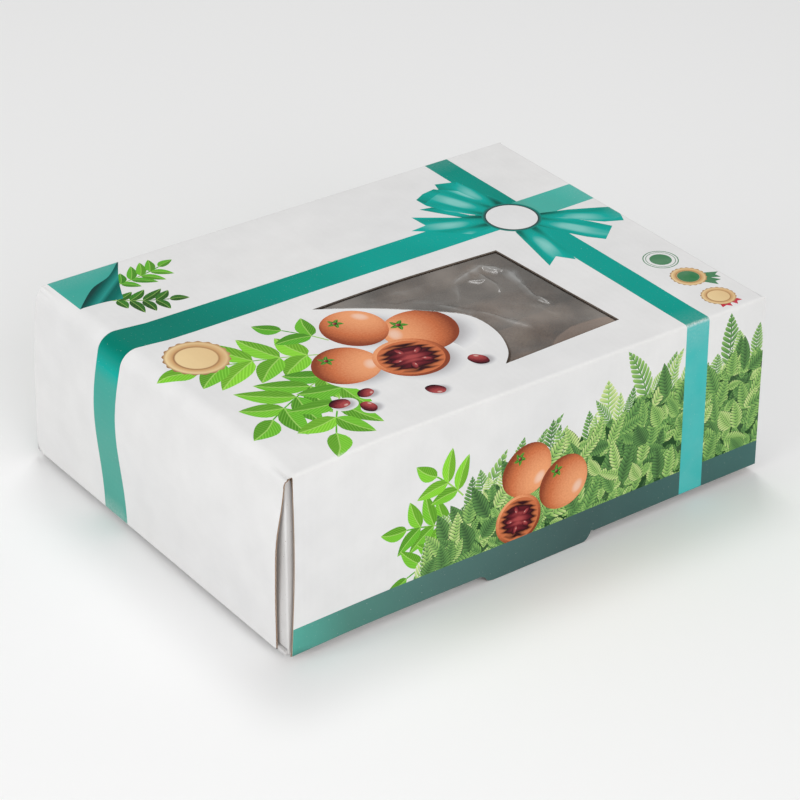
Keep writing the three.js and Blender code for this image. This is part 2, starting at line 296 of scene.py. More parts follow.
def makeBoardFaceGroup():
    inputs = [("Ink", colorSocket, (0.8, 0.8, 0.8, 1)), ("Sheet", vectorSocket, (0, 0, 0)),
              ("WearAndSheen", floatSocket, 0.0), ("Flecks", floatSocket, 0.3), ("Flutes", floatSocket, 0.5),
              ("Fleck Color", colorSocket, (0.8, 0.8, 0.8, 1))]
    outputs = [("Color", colorSocket), ("Roughness", floatSocket), ("Height", floatSocket)]
    tree, given, result = newGroup("boardFace", inputs, outputs)
    inMm = scaled(tree, given["Sheet"], 100.0)
    across = partsOf(tree, inMm)[0]
    wave = sine(tree, times(tree, across, 2 * math.pi / boardFace["flutePitch"]))
    wander = noiseNode(tree, inMm, 0.045, 2)
    flutes = times(tree, wave, times(tree, wander, given["Flutes"]))
    grain = noiseNode(tree, inMm, 2.2, 3, 0.6)
    height = plus(tree, flutes, times(tree, grain, 0.12))
    mottle = rangeNode(tree, noiseNode(tree, inMm, 0.06, 3), 0.3, 0.7, 0.965, 1.02)
    tinted = scaled(tree, given["Ink"], mottle)
    fleckNoise = noiseNode(tree, inMm, 1.5, 1)
    flecks = times(tree, rangeNode(tree, fleckNoise, 0.735, 0.76), given["Flecks"])
    flecked = mixColor(tree, flecks, tinted, given["Fleck Color"])
    # Paler and rougher along the creases: partly rubbed paper, partly a painted crease highlight
    wearAndSheenNoise = rangeNode(tree, noiseNode(tree, inMm, 0.9, 4, 0.7), 0.38, 0.62)
    rubAndSheen = times(tree, given["WearAndSheen"], plus(tree, times(tree, wearAndSheenNoise, 0.6), 0.3))
    tree.links.new(mixColor(tree, rubAndSheen, flecked, (0.83, 0.82, 0.80)), result["Color"])
    rough = rangeNode(tree, plus(tree, noiseNode(tree, inMm, 0.12, 3), rubAndSheen), 0.3, 1.3, 0.36, 0.62)
    tree.links.new(rough, result["Roughness"])
    tree.links.new(height, result["Height"])
    return tree


# Light and shade printed on a round motif, from its own coordinates that run from -1 to 1
def makeRoundShadeGroup():
    inputs = [("Motif", vectorSocket, (0, 0, 0)), ("Toward", vectorSocket, (-0.45, 0.55, 0.7))]
    tree, given, result = newGroup("roundShade", inputs, [("Shade", floatSocket), ("Glint", floatSocket)])
    parts = partsOf(tree, given["Motif"])
    squares = plus(tree, mathNode(tree, "POWER", parts[0], 2.0), mathNode(tree, "POWER", parts[1], 2.0))
    rise = mathNode(tree, "SQRT", mathNode(tree, "MAXIMUM", minus(tree, 1.0, squares), 0.0))
    facing = addNode(tree, "ShaderNodeCombineXYZ", {0: parts[0], 1: parts[1], 2: rise}).outputs[0]
    light = vectorNode(tree, "NORMALIZE", given["Toward"]).outputs[0]
    shade = vectorNode(tree, "DOT_PRODUCT", facing, light).outputs["Value"]
    tree.links.new(rangeNode(tree, shade, -0.3, 1.0), result["Shade"])
    tree.links.new(rangeNode(tree, shade, 0.955, 0.995), result["Glint"])
    return tree


boardFaceGroup = makeBoardFaceGroup()
roundShadeGroup = makeRoundShadeGroup()


def uvNode(tree, name):
    return addNode(tree, "ShaderNodeUVMap", uv_map=name).outputs[0]


def radiusOf(tree):
    return vectorNode(tree, "LENGTH", uvNode(tree, "motif")).outputs["Value"]


def valueOf(tree, name):
    return addNode(tree, "ShaderNodeAttribute", attribute_name=name).outputs["Fac"]


def printed(name, makeInk, flecks=0.3, flutes=0.5, fleckColor="paper"):
    material, tree, shader = newMaterial(name)
    ink = makeInk(tree)
    if isinstance(ink, tuple):
        ink = (*ink, 1)
    face = groupNode(tree, boardFaceGroup, {
        "Ink": ink, "Sheet": uvNode(tree, "sheet"), "WearAndSheen": valueOf(tree, "wearAndSheen"),
        "Flecks": flecks, "Flutes": flutes, "Fleck Color": (*boardFace[fleckColor], 1)})
    tree.links.new(face["Color"], shader.inputs["Base Color"])
    tree.links.new(face["Roughness"], shader.inputs["Roughness"])
    addBump(tree, shader, face["Height"], 0.32, 0.00012)
    shader.inputs["Specular IOR Level"].default_value = 0.06
    return material


inks = {
    # The liner is greyer than the printed white: partly the plain liner board, partly painted shade of the
    # gap at the front corner where it shows
    "white": (0.80, 0.795, 0.79), "liner": (0.64, 0.63, 0.625),
    "tealDark": (0.0, 0.165, 0.115), "teal": (0.0, 0.31, 0.25), "tealLight": (0.0, 0.40, 0.345),
    "tealGrey": (0.09, 0.385, 0.315), "tealPale": (0.05, 0.50, 0.43), "tealFront": (0.06, 0.49, 0.475),
    "leafDark": (0.02, 0.11, 0.015), "leafMid": (0.06, 0.33, 0.02), "leafBright": (0.25, 0.64, 0.04),
    "frondDark": (0.045, 0.105, 0.04), "frondMid": (0.125, 0.30, 0.08), "frondLight": (0.33, 0.56, 0.15),
    "frondGold": (0.60, 0.72, 0.30),
    "fruitDark": (0.26, 0.055, 0.022), "fruitMid": (0.60, 0.17, 0.065), "fruitLight": (0.84, 0.36, 0.17),
    "berryDark": (0.022, 0.003, 0.006), "berryMid": (0.14, 0.012, 0.02), "berryLight": (0.42, 0.07, 0.07),
    "gold": (0.62, 0.36, 0.16), "goldLight": (0.86, 0.66, 0.36), "goldDark": (0.30, 0.14, 0.06),
    "rosetteGreen": (0.02, 0.19, 0.06), "red": (0.55, 0.01, 0.04),
}


def ribbonInk(tree):
    # Painted reflection: the tone stops, from dark green to pale teal, stand in for the lamps' sheen on the
    # glossy print; the drift noise is random tone
    drift = minus(tree, noiseNode(tree, uvNode(tree, "sheet"), 2.5, 1), 0.5)
    level = plus(tree, valueOf(tree, "tone"), times(tree, drift, 0.1))
    return rampNode(tree, level, [(0.0, inks["tealDark"]), (0.35, inks["teal"]), (0.6, inks["tealLight"]),
                                  (0.8, inks["tealGrey"]), (1.0, inks["tealPale"])])


def bowInk(tree):
    # Satin: creases that fan out of the knot, a pale sheen half way and a dark throat
    motif = partsOf(tree, uvNode(tree, "motif"))
    fan = mathNode(tree, "DIVIDE", motif[1], plus(tree, times(tree, motif[0], 0.8), 0.3))
    stretched = vectorNode(tree, "MULTIPLY", uvNode(tree, "motif"), (1.2, 4.0, 1.0)).outputs[0]
    swing = noiseNode(tree, stretched, 1.3, 1)
    folds = sine(tree, plus(tree, times(tree, fan, 15.0), times(tree, swing, 4.0)))
    bell = mathNode(tree, "DIVIDE", minus(tree, motif[0], 0.62), 0.17)
    sheen = mathNode(tree, "EXPONENT", times(tree, times(tree, bell, bell), -1.0))
    light = plus(tree, valueOf(tree, "tone"), times(tree, folds, 0.17))
    light = plus(tree, light, times(tree, sheen, rangeNode(tree, folds, -1.0, 1.0, 0.0, 0.34)))
    light = plus(tree, light, rangeNode(tree, motif[0], 0.22, 0.5, -0.42, 0.0))
    return rampNode(tree, light, [(0.0, (0.0, 0.10, 0.075)), (0.3, inks["teal"]), (0.62, inks["tealLight"]),
                                  (1.0, (0.22, 0.60, 0.55))])


def bandInk(tree):
    across = partsOf(tree, uvNode(tree, "sheet"))[0]
    return rampNode(tree, rangeNode(tree, across, 0.0, 2.4), [
        (0.0, (0.095, 0.40, 0.33)), (0.12, (0.085, 0.24, 0.20)), (0.3, (0.085, 0.18, 0.165)),
        (0.6, (0.06, 0.115, 0.11)), (1.0, (0.06, 0.15, 0.14))])


def leafInk(tree):
    motif = partsOf(tree, uvNode(tree, "motif"))
    base = rampNode(tree, valueOf(tree, "tone"), [
        (0.0, inks["leafDark"]), (0.5, inks["leafMid"]), (1.0, inks["leafBright"])])
    side = absolute(tree, motif[1])
    rib = rangeNode(tree, side, 0.015, 0.04, 1.0, 0.0)
    sweep = minus(tree, times(tree, motif[0], 58.0), times(tree, side, 46.0))
    wave = sine(tree, sweep)
    veins = rangeNode(tree, wave, 0.86, 1.0)
    half = rangeNode(tree, motif[1], -0.06, 0.06, 0.72, 1.12)
    quilt = times(tree, half, rangeNode(tree, wave, -1.0, 1.0, 0.86, 1.1))
    lines = mathNode(tree, "MAXIMUM", times(tree, rib, 0.6), times(tree, veins, 0.3))
    return mixColor(tree, lines, scaled(tree, base, quilt), (0.5, 0.76, 0.2))


# Paired leaflets along a stem, from a leaf's own coordinates
def makeFrondGroup():
    inputs = [("Motif", vectorSocket, (0, 0, 0)), ("Pairs", floatSocket, 10.0), ("Slant", floatSocket, 0.32),
              ("Tone", floatSocket, 0.5)]
    tree, given, result = newGroup("frondLeaflets", inputs, [("Mask", floatSocket), ("Color", colorSocket)])
    parts = partsOf(tree, given["Motif"])
    side = absolute(tree, parts[1])
    along = mathNode(tree, "MAXIMUM", mathNode(tree, "MINIMUM", parts[0], 0.995), 0.005)
    bulge = sine(tree, times(tree, mathNode(tree, "POWER", along, 0.75), math.pi))
    reach = mathNode(tree, "DIVIDE", times(tree, side, 2.0), mathNode(tree, "POWER", bulge, 0.85))
    lag = times(tree, side, given["Slant"])
    phase = mathNode(tree, "FRACT", times(tree, minus(tree, parts[0], lag), given["Pairs"]))
    off = mathNode(tree, "DIVIDE", minus(tree, phase, 0.5), 0.44)
    out = mathNode(tree, "DIVIDE", minus(tree, reach, 0.52), 0.5)
    oval = plus(tree, times(tree, off, off), mathNode(tree, "POWER", absolute(tree, out), 3.0))
    stem = mathNode(tree, "LESS_THAN", side, 0.035)
    tree.links.new(mathNode(tree, "MAXIMUM", mathNode(tree, "LESS_THAN", oval, 1.0), stem), result["Mask"])
    lift = plus(tree, given["Tone"], times(tree, off, 0.16))
    lift = plus(tree, lift, rangeNode(tree, reach, 0.0, 1.0, -0.16, 0.16))
    color = rampNode(tree, lift, [(0.0, inks["frondDark"]), (0.42, inks["frondMid"]),
                                  (0.8, inks["frondLight"]), (1.0, inks["frondGold"])])
    tree.links.new(color, result["Color"])
    return tree


def frondInk(ground):
    def make(tree):
        frond = groupNode(tree, frondGroup, {"Motif": uvNode(tree, "motif"), "Tone": valueOf(tree, "tone")})
        return mixColor(tree, frond["Mask"], ground, frond["Color"])
    return make


# A thicket of small fronds, laid over each other in layers: each with its cell size, tone and leaflets
thicket = {"ground": (0.02, 0.07, 0.02),
           "layers": [(0.12, 0.12, 7.0), (0.14, 0.3, 8.0), (0.13, 0.5, 7.0), (0.15, 0.72, 8.0)]}


def foliageInk(tree):
    color = thicket["ground"]
    inMm = vectorNode(tree, "MULTIPLY", uvNode(tree, "sheet"), (100.0, 100.0, 0.0)).outputs[0]
    patch = noiseNode(tree, inMm, 0.09, 2)
    for n, (size, tone, pairs) in enumerate(thicket["layers"]):
        moved = vectorNode(tree, "ADD", inMm, (13.7 * n, 29.1 * n, 0.0)).outputs[0]
        cells = addNode(tree, "ShaderNodeTexVoronoi", {"Vector": moved, "Scale": size},
                        voronoi_dimensions="2D")
        chance = addNode(tree, "ShaderNodeSeparateColor", {0: cells.outputs["Color"]}).outputs
        local = vectorNode(tree, "SUBTRACT", moved, cells.outputs["Position"]).outputs[0]
        turn = rangeNode(tree, chance[0], 0.0, 1.0, -2.6, 0.2)
        turned = addNode(tree, "ShaderNodeVectorRotate", {"Vector": local, "Angle": turn},
                         rotation_type="Z_AXIS")
        sized = vectorNode(tree, "MULTIPLY", turned.outputs[0], (size * 0.8, size * 1.5, 0.0)).outputs[0]
        own = vectorNode(tree, "ADD", sized, (0.5, 0.0, 0.0)).outputs[0]
        parts = partsOf(tree, own)
        bow = sine(tree, times(tree, parts[0], math.pi))
        inside = mathNode(tree, "LESS_THAN", absolute(tree, parts[1]), times(tree, bow, 0.5))
        level = rangeNode(tree, chance[1], 0.0, 1.0, tone - 0.16, tone + 0.16)
        level = plus(tree, level, rangeNode(tree, patch, 0.3, 0.7, -0.16, 0.16))
        frond = groupNode(tree, frondGroup, {"Motif": own, "Pairs": pairs, "Tone": level})
        mask = times(tree, frond["Mask"], inside)
        color = mixColor(tree, mask, color, frond["Color"])
    return color


def shadeInk(tree):
    return rampNode(tree, radiusOf(tree), [
        (0.0, (0.32, 0.31, 0.32)), (0.6, (0.5, 0.49, 0.5)), (0.85, (0.72, 0.72, 0.73)), (1.0, inks["white"])])


def peelInk(tree):
    across = partsOf(tree, uvNode(tree, "motif"))[1]
    return rampNode(tree, rangeNode(tree, across, 0.0, 1.0), [
        (0.0, (0.004, 0.05, 0.045)), (0.12, (0.0, 0.12, 0.10)), (0.3, (0.02, 0.30, 0.26)),
        (0.42, (0.0, 0.11, 0.09)), (0.6, (0.0, 0.16, 0.13)), (1.0, (0.05, 0.42, 0.36))])


def roundInk(dark, middle, light, speckle):
    def make(tree):
        shade = groupNode(tree, roundShadeGroup, {"Motif": uvNode(tree, "motif")})
        grain = noiseNode(tree, uvNode(tree, "sheet"), 110.0, 3, 0.7)
        level = plus(tree, shade["Shade"], rangeNode(tree, grain, 0.3, 0.7, -speckle, speckle))
        color = rampNode(tree, level, [(0.05, inks[dark]), (0.5, inks[middle]), (0.95, inks[light])])
        return mixColor(tree, times(tree, shade["Glint"], 0.5), color, (0.9, 0.75, 0.65))
    return make


def fleshInk(tree):
    inputs = {"Vector": uvNode(tree, "motif"), "Scale": 1.2, "Distortion": 6.0, "Detail": 2.0}
    rings = addNode(tree, "ShaderNodeTexWave", inputs, wave_type="RINGS").outputs["Fac"]
    level = plus(tree, radiusOf(tree), times(tree, rings, 0.18))
    return rampNode(tree, level, [(0.15, inks["berryLight"]), (0.5, inks["berryMid"]),
                                  (0.8, inks["berryDark"]), (1.0, inks["fruitMid"])])


def goldInk(tree):
    rings = rampNode(tree, radiusOf(tree), [
        (0.0, inks["goldLight"]), (0.62, inks["goldLight"]), (0.66, inks["goldDark"]),
        (0.72, inks["gold"]), (0.9, inks["goldLight"]), (1.0, inks["goldDark"])])
    sweep = partsOf(tree, uvNode(tree, "motif"))[0]
    return mixColor(tree, rangeNode(tree, sweep, -1.0, 1.0, 0.0, 0.45), rings, inks["gold"])


def plainInk(name, amount=0.12):
    def make(tree):
        cloud = rangeNode(tree, noiseNode(tree, uvNode(tree, "sheet"), 9.0, 3), 0.3, 0.7, 0.0, amount)
        return mixColor(tree, cloud, inks[name], inks["white"])
    return make


def whiteInk(tree):
    cloud = noiseNode(tree, uvNode(tree, "sheet"), 1.2, 3)
    return mixColor(tree, rangeNode(tree, cloud, 0.35, 0.7), inks["white"], (0.765, 0.763, 0.765))


def rimInk(tree):
    return rampNode(tree, radiusOf(tree), [
        (0.0, (0.05, 0.06, 0.06)), (0.88, (0.035, 0.055, 0.055)), (1.0, (0.0, 0.27, 0.22))])


frondGroup = makeFrondGroup()


def makeInks():
    return {
        "white": printed("whitePrint", whiteInk, flecks=0.0, flutes=0.5),
        "liner": printed("whiteLiner", plainInk("liner", 0.25), flecks=1.0, flutes=0.8, fleckColor="bran"),
        "ribbon": printed("ribbonPrint", ribbonInk, flecks=0.25),
        "ribbonPale": printed("ribbonPalePrint", plainInk("tealFront", 0.05), flecks=0.2),
        "frond": printed("frondPrint", frondInk(inks["white"]), flecks=0.0),
        "deepFrond": printed("deepFrondPrint", frondInk(inks["frondDark"]), flecks=0.0),
        "foliage": printed("foliagePrint", foliageInk, flecks=0.02),
        "shade": printed("shadePrint", shadeInk, flecks=0.0),
        "peel": printed("peelPrint", peelInk, flecks=0.1),
        "bow": printed("bowPrint", bowInk, flecks=0.15),
        "band": printed("bandPrint", bandInk),
        "leaf": printed("leafPrint", leafInk, flecks=0.1),
        "fruit": printed("fruitPrint", roundInk("fruitDark", "fruitMid", "fruitLight", 0.1), flecks=0.05),
        "berry": printed("berryPrint", roundInk("berryDark", "berryMid", "berryLight", 0.12), flecks=0.02),
        "flesh": printed("fleshPrint", fleshInk, flecks=0.02),
        "gold": printed("goldPrint", goldInk, flecks=0.05),
        "green": printed("greenPrint", plainInk("rosetteGreen"), flecks=0.05),
        "red": printed("redPrint", plainInk("red"), flecks=0.05),
        "rim": printed("rimPrint", rimInk, flecks=0.0),
    }


# Brown uncoated board and its cut edge
kraft = {
    "inside": {"Light": (0.50, 0.36, 0.25, 1), "Dark": (0.34, 0.225, 0.145, 1)},
    "cut": {"Light": (0.62, 0.47, 0.36, 1), "Dark": (0.40, 0.27, 0.19, 1)},
    # The window's cut edge is painted dark as shade
    "shadedWindowCut": {"Light": (0.27, 0.22, 0.18, 1), "Dark": (0.11, 0.09, 0.075, 1)},
    "gapShade": (0.13, 0.075, 0.045),
}


def makeFiberGroup():
    inputs = [("Place", vectorSocket, (0, 0, 0)), ("Light", colorSocket, (0.5, 0.4, 0.3, 1)),
              ("Dark", colorSocket, (0.3, 0.2, 0.1, 1))]
    tree, given, result = newGroup("paperFibers", inputs, [("Color", colorSocket), ("Height", floatSocket)])
    stretched = vectorNode(tree, "MULTIPLY", given["Place"], (1.0, 0.25, 1.0)).outputs[0]
    fibers = noiseNode(tree, stretched, 1800.0, 4, 0.65)
    cloud = noiseNode(tree, given["Place"], 60.0, 3)
    level = plus(tree, times(tree, fibers, 0.6), times(tree, cloud, 0.4))
    color = mixColor(tree, rangeNode(tree, level, 0.35, 0.65), given["Dark"], given["Light"])
    tree.links.new(color, result["Color"])
    tree.links.new(fibers, result["Height"])
    return tree


fiberGroup = makeFiberGroup()


def fibersOf(tree, colors):
    return groupNode(tree, fiberGroup, {"Place": spotOf(tree), **kraft[colors]})


def makeKraft(name, ridges):
    material, tree, shader = newMaterial(name, roughness=0.88)
    fibers = fibersOf(tree, "inside")
    tree.links.new(fibers["Color"], shader.inputs["Base Color"])
    across = partsOf(tree, uvNode(tree, "sheet"))[0]
    wave = sine(tree, times(tree, across, 200 * math.pi / boardFace["flutePitch"]))
    height = plus(tree, fibers["Height"], times(tree, wave, ridges))
    addBump(tree, shader, height, 0.4, 0.0002)
    return material


def makeCutEdge():
    material, tree, shader = newMaterial("cutEdge", roughness=0.9)
    fibers = fibersOf(tree, "cut")
    edge = partsOf(tree, uvNode(tree, "motif"))
    wave = sine(tree, times(tree, edge[0], 2 * math.pi))
    medium = plus(tree, times(tree, wave, 0.3), 0.5)
    fromMedium = absolute(tree, minus(tree, edge[1], medium))
    fromLiner = absolute(tree, minus(tree, absolute(tree, minus(tree, edge[1], 0.5)), 0.44))
    nearest = mathNode(tree, "MINIMUM", fromMedium, fromLiner)
    hole = rangeNode(tree, nearest, 0.09, 0.16, 0.0, 0.8)
    color = mixColor(tree, hole, fibers["Color"], kraft["gapShade"])
    skin = rangeNode(tree, edge[1], 0.05, 0.11, 1.0, 0.0)
    tree.links.new(mixColor(tree, times(tree, skin, 0.8), color, inks["white"]), shader.inputs["Base Color"])
    height = minus(tree, times(tree, fibers["Height"], 0.3), hole)
    addBump(tree, shader, height, 0.7, 0.0003)
    return material


def makeDarkEdge():
    # The window's cut edge, painted dark as shade
    material, tree, shader = newMaterial("windowEdge", roughness=0.7)
    fibers = fibersOf(tree, "shadedWindowCut")
    tree.links.new(fibers["Color"], shader.inputs["Base Color"])
    addBump(tree, shader, fibers["Height"], 0.4, 0.0002)
    return material


# How the flat blank folds up: each point of the blank (s along, y across) to its place on the carton
foldStart = foldRadius - math.pi * foldRadius / 2  # where the rounded fold meets the hinge wall
footFold = carton["footFold"]
wallFoot = foldStart - (height - foldRadius - footFold) - math.pi * footFold / 2
flapTop = crease - math.pi * crease / 2  # where a flap hangs straight, below its crease


def flapPlace(z):
    return flapTop - (height - crease - z)


flapEnd = flapPlace(carton["flapFoot"])


def outward(z):
    return 1 - z / (height - board)


def frontFlare(x, z):
    return mix(carton["frontFlareLeft"], carton["frontFlareRight"], x / length) * outward(z)


def wallBulge(y, s):
    inset = carton["wallBulgeInset"]
    across = max(math.sin(math.pi * min(max((y - inset) / (depth - 2 * inset), 0), 1)), 0) ** 0.8
    rise = min(max((s - wallFoot) / (foldRadius - wallFoot), 0), 1)
    return mix(carton["wallBulgeEdge"], carton["wallBulge"], across) * math.sin(math.pi * rise ** 1.3) ** 1.6


def cornerDroop(s, y):
    return carton["droop"] * smooth(1 - s / carton["droopAlong"]) * smooth(1 - y / carton["droopAcross"])


def onProfile(s, y):
    # Along the carton at one depth: up the hinge wall, round its fold, and along the lid
    if s >= foldRadius:
        return s, height
    # At the front corner the wall already leans in below its fold
    below = foldStart - carton["leanBelowFold"]
    lean = math.sin(math.pi * smooth((s - below) / (foldRadius - below)) ** 1.3)
    bulge = wallBulge(y, s) - carton["wallLean"] * smooth(1 - y / carton["leanWidth"]) * lean
    if s >= foldStart:
        turn = (foldRadius - s) / foldRadius
        return foldRadius * (1 - math.sin(turn)) - bulge, height - foldRadius * (1 - math.cos(turn))
    z = height - foldRadius - (foldStart - s)
    if z >= footFold:
        return -bulge, z
    turn = min((footFold - z) / footFold, math.pi / 2)
    return footFold * (1 - math.cos(turn)) - bulge, footFold * (1 - math.sin(turn))


def creaseTurn(past):
    # Round a crease, then straight on: how far out and how far down
    turn = min(max(past / crease, 0), math.pi / 2)
    straight = max(past - math.pi * crease / 2, 0)
    return crease * math.sin(turn) if past > 0 else past, crease * (1 - math.cos(turn)) + straight


def waviness(s, y):
    return noise.noise(Vector((s * 0.017, y * 0.021, 3.1)))


def blankPoint(s, y):
    x, z = onProfile(s, y)
    turned = smooth((s - carton["turnFrom"]) / carton["turnWidth"])
    onFront, onBack = y < crease, y > depth - crease
    if turned > 0 and (onFront or onBack):
        past = crease - y if onFront else y - depth + crease
        out, down = creaseTurn(past * turned)
        out += past * (1 - turned)
        onFlap = smooth(past / crease) * turned
        x, z = mix(x, s, onFlap), mix(z, height, onFlap) - down
        sway = carton["sway"] * waviness(s, y) * smooth(down / carton["swayFrom"])
        hanging = smooth(down / carton["flareFrom"])
        lean = smooth((s - length + carton["endLeanWidth"]) / carton["endLeanWidth"])
        x += carton["endFlare"] * outward(z) * lean * onFlap
        if onBack:
            return x, depth - crease + out + carton["backFlare"] * outward(z) * hanging + sway, z
        flare = frontFlare(s, z) * hanging + cornerDroop(s, 0) * 0.25
        droop = cornerDroop(s, max(y, 0)) * mix(smooth((s - foldStart) / 8), z / height, onFlap)
        return x, crease - out - flare + sway, z - droop
    if s > length - crease:
        out, down = creaseTurn(s - length + crease)
        flare = carton["endFlare"] * outward(height - down) * smooth(down / carton["flareFrom"])
        return length - crease + out + flare, y, height - down
    inward = min(y - crease, depth - crease - y, length - crease - s, s - foldRadius)
    dip = carton["lidDip"] * (0.5 + waviness(s, y)) * smooth(inward / carton["dipFrom"])
    return x, y, z - dip - cornerDroop(s, y) * smooth((s - foldStart) / 8)


def blankNormal(s, y):
    h = 0.04
    east, west = Vector(blankPoint(s + h, y)), Vector(blankPoint(s - h, y))
    north, south = Vector(blankPoint(s, y + h)), Vector(blankPoint(s, y - h))
    return (east - west).cross(north - south).normalized()


# Where the printed face is paler along the creases and at the hinge wall's foot fold: partly rubbed paper,
# partly a painted crease highlight
def wearAndSheenAt(s, y):
    lines = [abs(y - 0.3) if s > 2 else 9, abs(y - depth + 0.3) if s > 2 else 9,
             abs(s - length + 0.3) if 0 < y < depth else 9]
    foot = 0.35 * math.exp(-((s - wallFoot - 0.8) / 0.8) ** 2)
    return 0.8 * math.exp(-(min(lines) / 0.9) ** 2) + foot


def curve(points, steps=6):
    # A smooth line through the points, ends included
    result = []
    for n in range(len(points) - 1):
        before, a = points[max(n - 1, 0)], points[n]
        b, after = points[n + 1], points[min(n + 2, len(points) - 1)]
        for k in range(steps):
            t = k / steps
            result.append(tuple(
                0.5 * (2 * a[i] + (b[i] - before[i]) * t
                       + (2 * before[i] - 5 * a[i] + 4 * b[i] - after[i]) * t ** 2
                       + (3 * a[i] - before[i] - 3 * b[i] + after[i]) * t ** 3) for i in (0, 1)))
    return result + [tuple(points[-1])]


# The blank's outline, with the lock tab, and the window
lockTab = {"left": 95.0, "right": 150.4, "drop": 3.6}
window = {
    "tip": (81, 95.8), "upperBow": (128, 96.6), "backCorner": (174, 94.3), "frontCorner": (178, 19.7),
    "foot": (118.5, 18), "wave": [(126, 26), (131.5, 40), (130.5, 56), (119.5, 68), (102, 82.5)],
}
cutEdges = {
    "wallInset": [(0, 4.2), (0.25, 4.5), (0.5, 3.8), (0.72, 3.2), (0.9, 1.7), (1.0, 0.4)], "crushed": 0.7,
    "flapEdge": [(3.9, 0.2), (4.1, -26), (3.9, -46), (3.1, -64)], "flapCorner": (2.1, -0.5), "endInset": 1.8,
}


def frontFoot():
    left, right, foot = lockTab["left"], lockTab["right"], flapEnd
    tip = flapEnd - lockTab["drop"]
    corner = curve([(left - 1.5, foot), (left + 0.4, foot - 1.0), (left + 2.2, tip + 0.6),
                    (left + 5, tip)], 4)
    notch = curve([(right - 3.2, tip), (right - 1.6, tip + 1.2), (right - 0.4, foot - 0.7),
                   (right + 0.3, foot + 0.5), (right + 1.6, foot)], 4)
    return corner + notch


def blankOutline():
    start = carton["flapStart"]
    frontEdge = curve([(mix(wallFoot, foldStart, t), inset) for t, inset in cutEdges["wallInset"]], 4)
    backEdge = [(wallFoot + rise, depth + carton["backFlare"] * outward(rise) - 0.1)
                for rise in range(0, 75, 6)]
    corner = (cutEdges["flapCorner"][0], flapEnd + cutEdges["flapCorner"][1])
    front = frontEdge + [(0.6, 0.7)] + curve(cutEdges["flapEdge"] + [corner], 3)
    front += [(30, flapEnd)] + frontFoot() + [(length, flapEnd), (length, 0.6)]
    inset, far = cutEdges["endInset"], length - flapEnd
    end = [(length - 0.2, inset), (far, inset), (far, depth - inset), (length - 0.2, depth - inset)]
    back = [(length, depth - 0.6), (length, depth - flapEnd), (start, depth - flapEnd), (start, depth - 0.2)]
    return front + end + back + [(1.2, depth - 0.3), (-1.5, depth - 0.1)] + backEdge[::-1]


def windowOutline():
    upper = curve([window["tip"], window["upperBow"], window["backCorner"]], 8)
    wave = curve([window["foot"], *window["wave"], window["tip"]], 5)
    return upper[:-1] + [window["backCorner"], window["frontCorner"]] + wave[:-1]


# Printed motifs. Each is an outline on the blank, an ink, a tone and its own coordinates
def motif(outline, ink, at=(0, 0), angle=0.0, size=(1.0, 1.0), tone=0.5, bend=0.0):
    return {"outline": outline, "ink": ink, "at": at, "angle": angle, "size": size, "tone": tone,
            "bend": bend}


def toneAt(m, x, y):
    # A tone is one value, or stops along the blank: (axis, [(position, tone), ...])
    if not isinstance(m["tone"], tuple):
        return m["tone"]
    axis, stops = m["tone"]
    at = (x, y)[axis]
    for (p0, t0), (p1, t1) in zip(stops, stops[1:]):
        if at <= p1:
            return mix(t0, t1, smooth((at - p0) / (p1 - p0)))
    return stops[-1][1]


def motifPlace(m, x, y):
    c, s = math.cos(m["angle"]), math.sin(m["angle"])
    dx, dy = x - m["at"][0], y - m["at"][1]
    u = (c * dx + s * dy) / m["size"][0]
    v = (c * dy - s * dx) / m["size"][1]
    return u, v - m["bend"] * math.sin(math.pi * min(max(u, 0), 1))


def disc(cx, cy, radius, ink, tone=0.5, squash=1.0, angle=0.0, sides=44, waves=0, depthOfWave=0.0):
    outline = []
    c, s = math.cos(angle), math.sin(angle)
    for k in range(sides):
        a = 2 * math.pi * k / sides
        r = radius * (1 + depthOfWave * math.cos(waves * a))
        x, y = r * math.cos(a), r * squash * math.sin(a)
        outline.append((cx + x * c - y * s, cy + x * s + y * c))
    return motif(outline, ink, (cx, cy), angle, (radius, radius * squash), tone)


def leaf(x, y, angle, reach, width, tone, bend=0.12, points=9, blunt=0.75, ink="leaf"):
    upper, lower = [], []
    for k in range(points + 1):
        t = k / points
        half = 0.5 * width * math.sin(math.pi * t ** blunt) ** 0.85
        middle = bend * width * math.sin(math.pi * t)
        upper.append((t * reach, middle + half))
        lower.append((t * reach, middle - half))
    loop = lower + upper[-2:0:-1]
    c, s = math.cos(angle), math.sin(angle)
    outline = [(x + c * px - s * py, y + s * px + c * py) for px, py in loop]
    return motif(outline, ink, (x, y), angle, (reach, width), tone, bend)


def spray(x, y, angle, reach, pairs, leafReach, leafWidth, tone, rng, bend=0.25):
    # A stem with leaves in pairs and one at its tip
    motifs, stem = [], []
    for k in range(pairs + 1):
        t = (k + 0.6) / (pairs + 0.6)
        turn = angle + bend * t
        way = angle + bend * t / 2
        px, py = x + math.cos(way) * reach * t, y + math.sin(way) * reach * t
        stem.append((px, py))
        size = leafReach * (0.72 + 0.4 * math.sin(math.pi * min(t, 0.9)))
        if k == pairs:
            motifs.append(leaf(px, py, turn, size, leafWidth, tone))
            break
        for side in (-1, 1):
            spread = side * math.radians(rng.uniform(48, 62))
            motifs.append(leaf(px, py, turn + spread, size * rng.uniform(0.9, 1.1), leafWidth,
                               tone + rng.uniform(-0.12, 0.12), bend=-0.1 * side))
    line = [(x, y)] + stem
    wide = 0.35
    left = [(px - wide * math.sin(angle), py + wide * math.cos(angle)) for px, py in line]
    right = [(px + wide * math.sin(angle), py - wide * math.cos(angle)) for px, py in line]
    return [motif(right + left[::-1], "leaf", (x, y), angle, (reach, 40.0), tone * 0.8)] + motifs


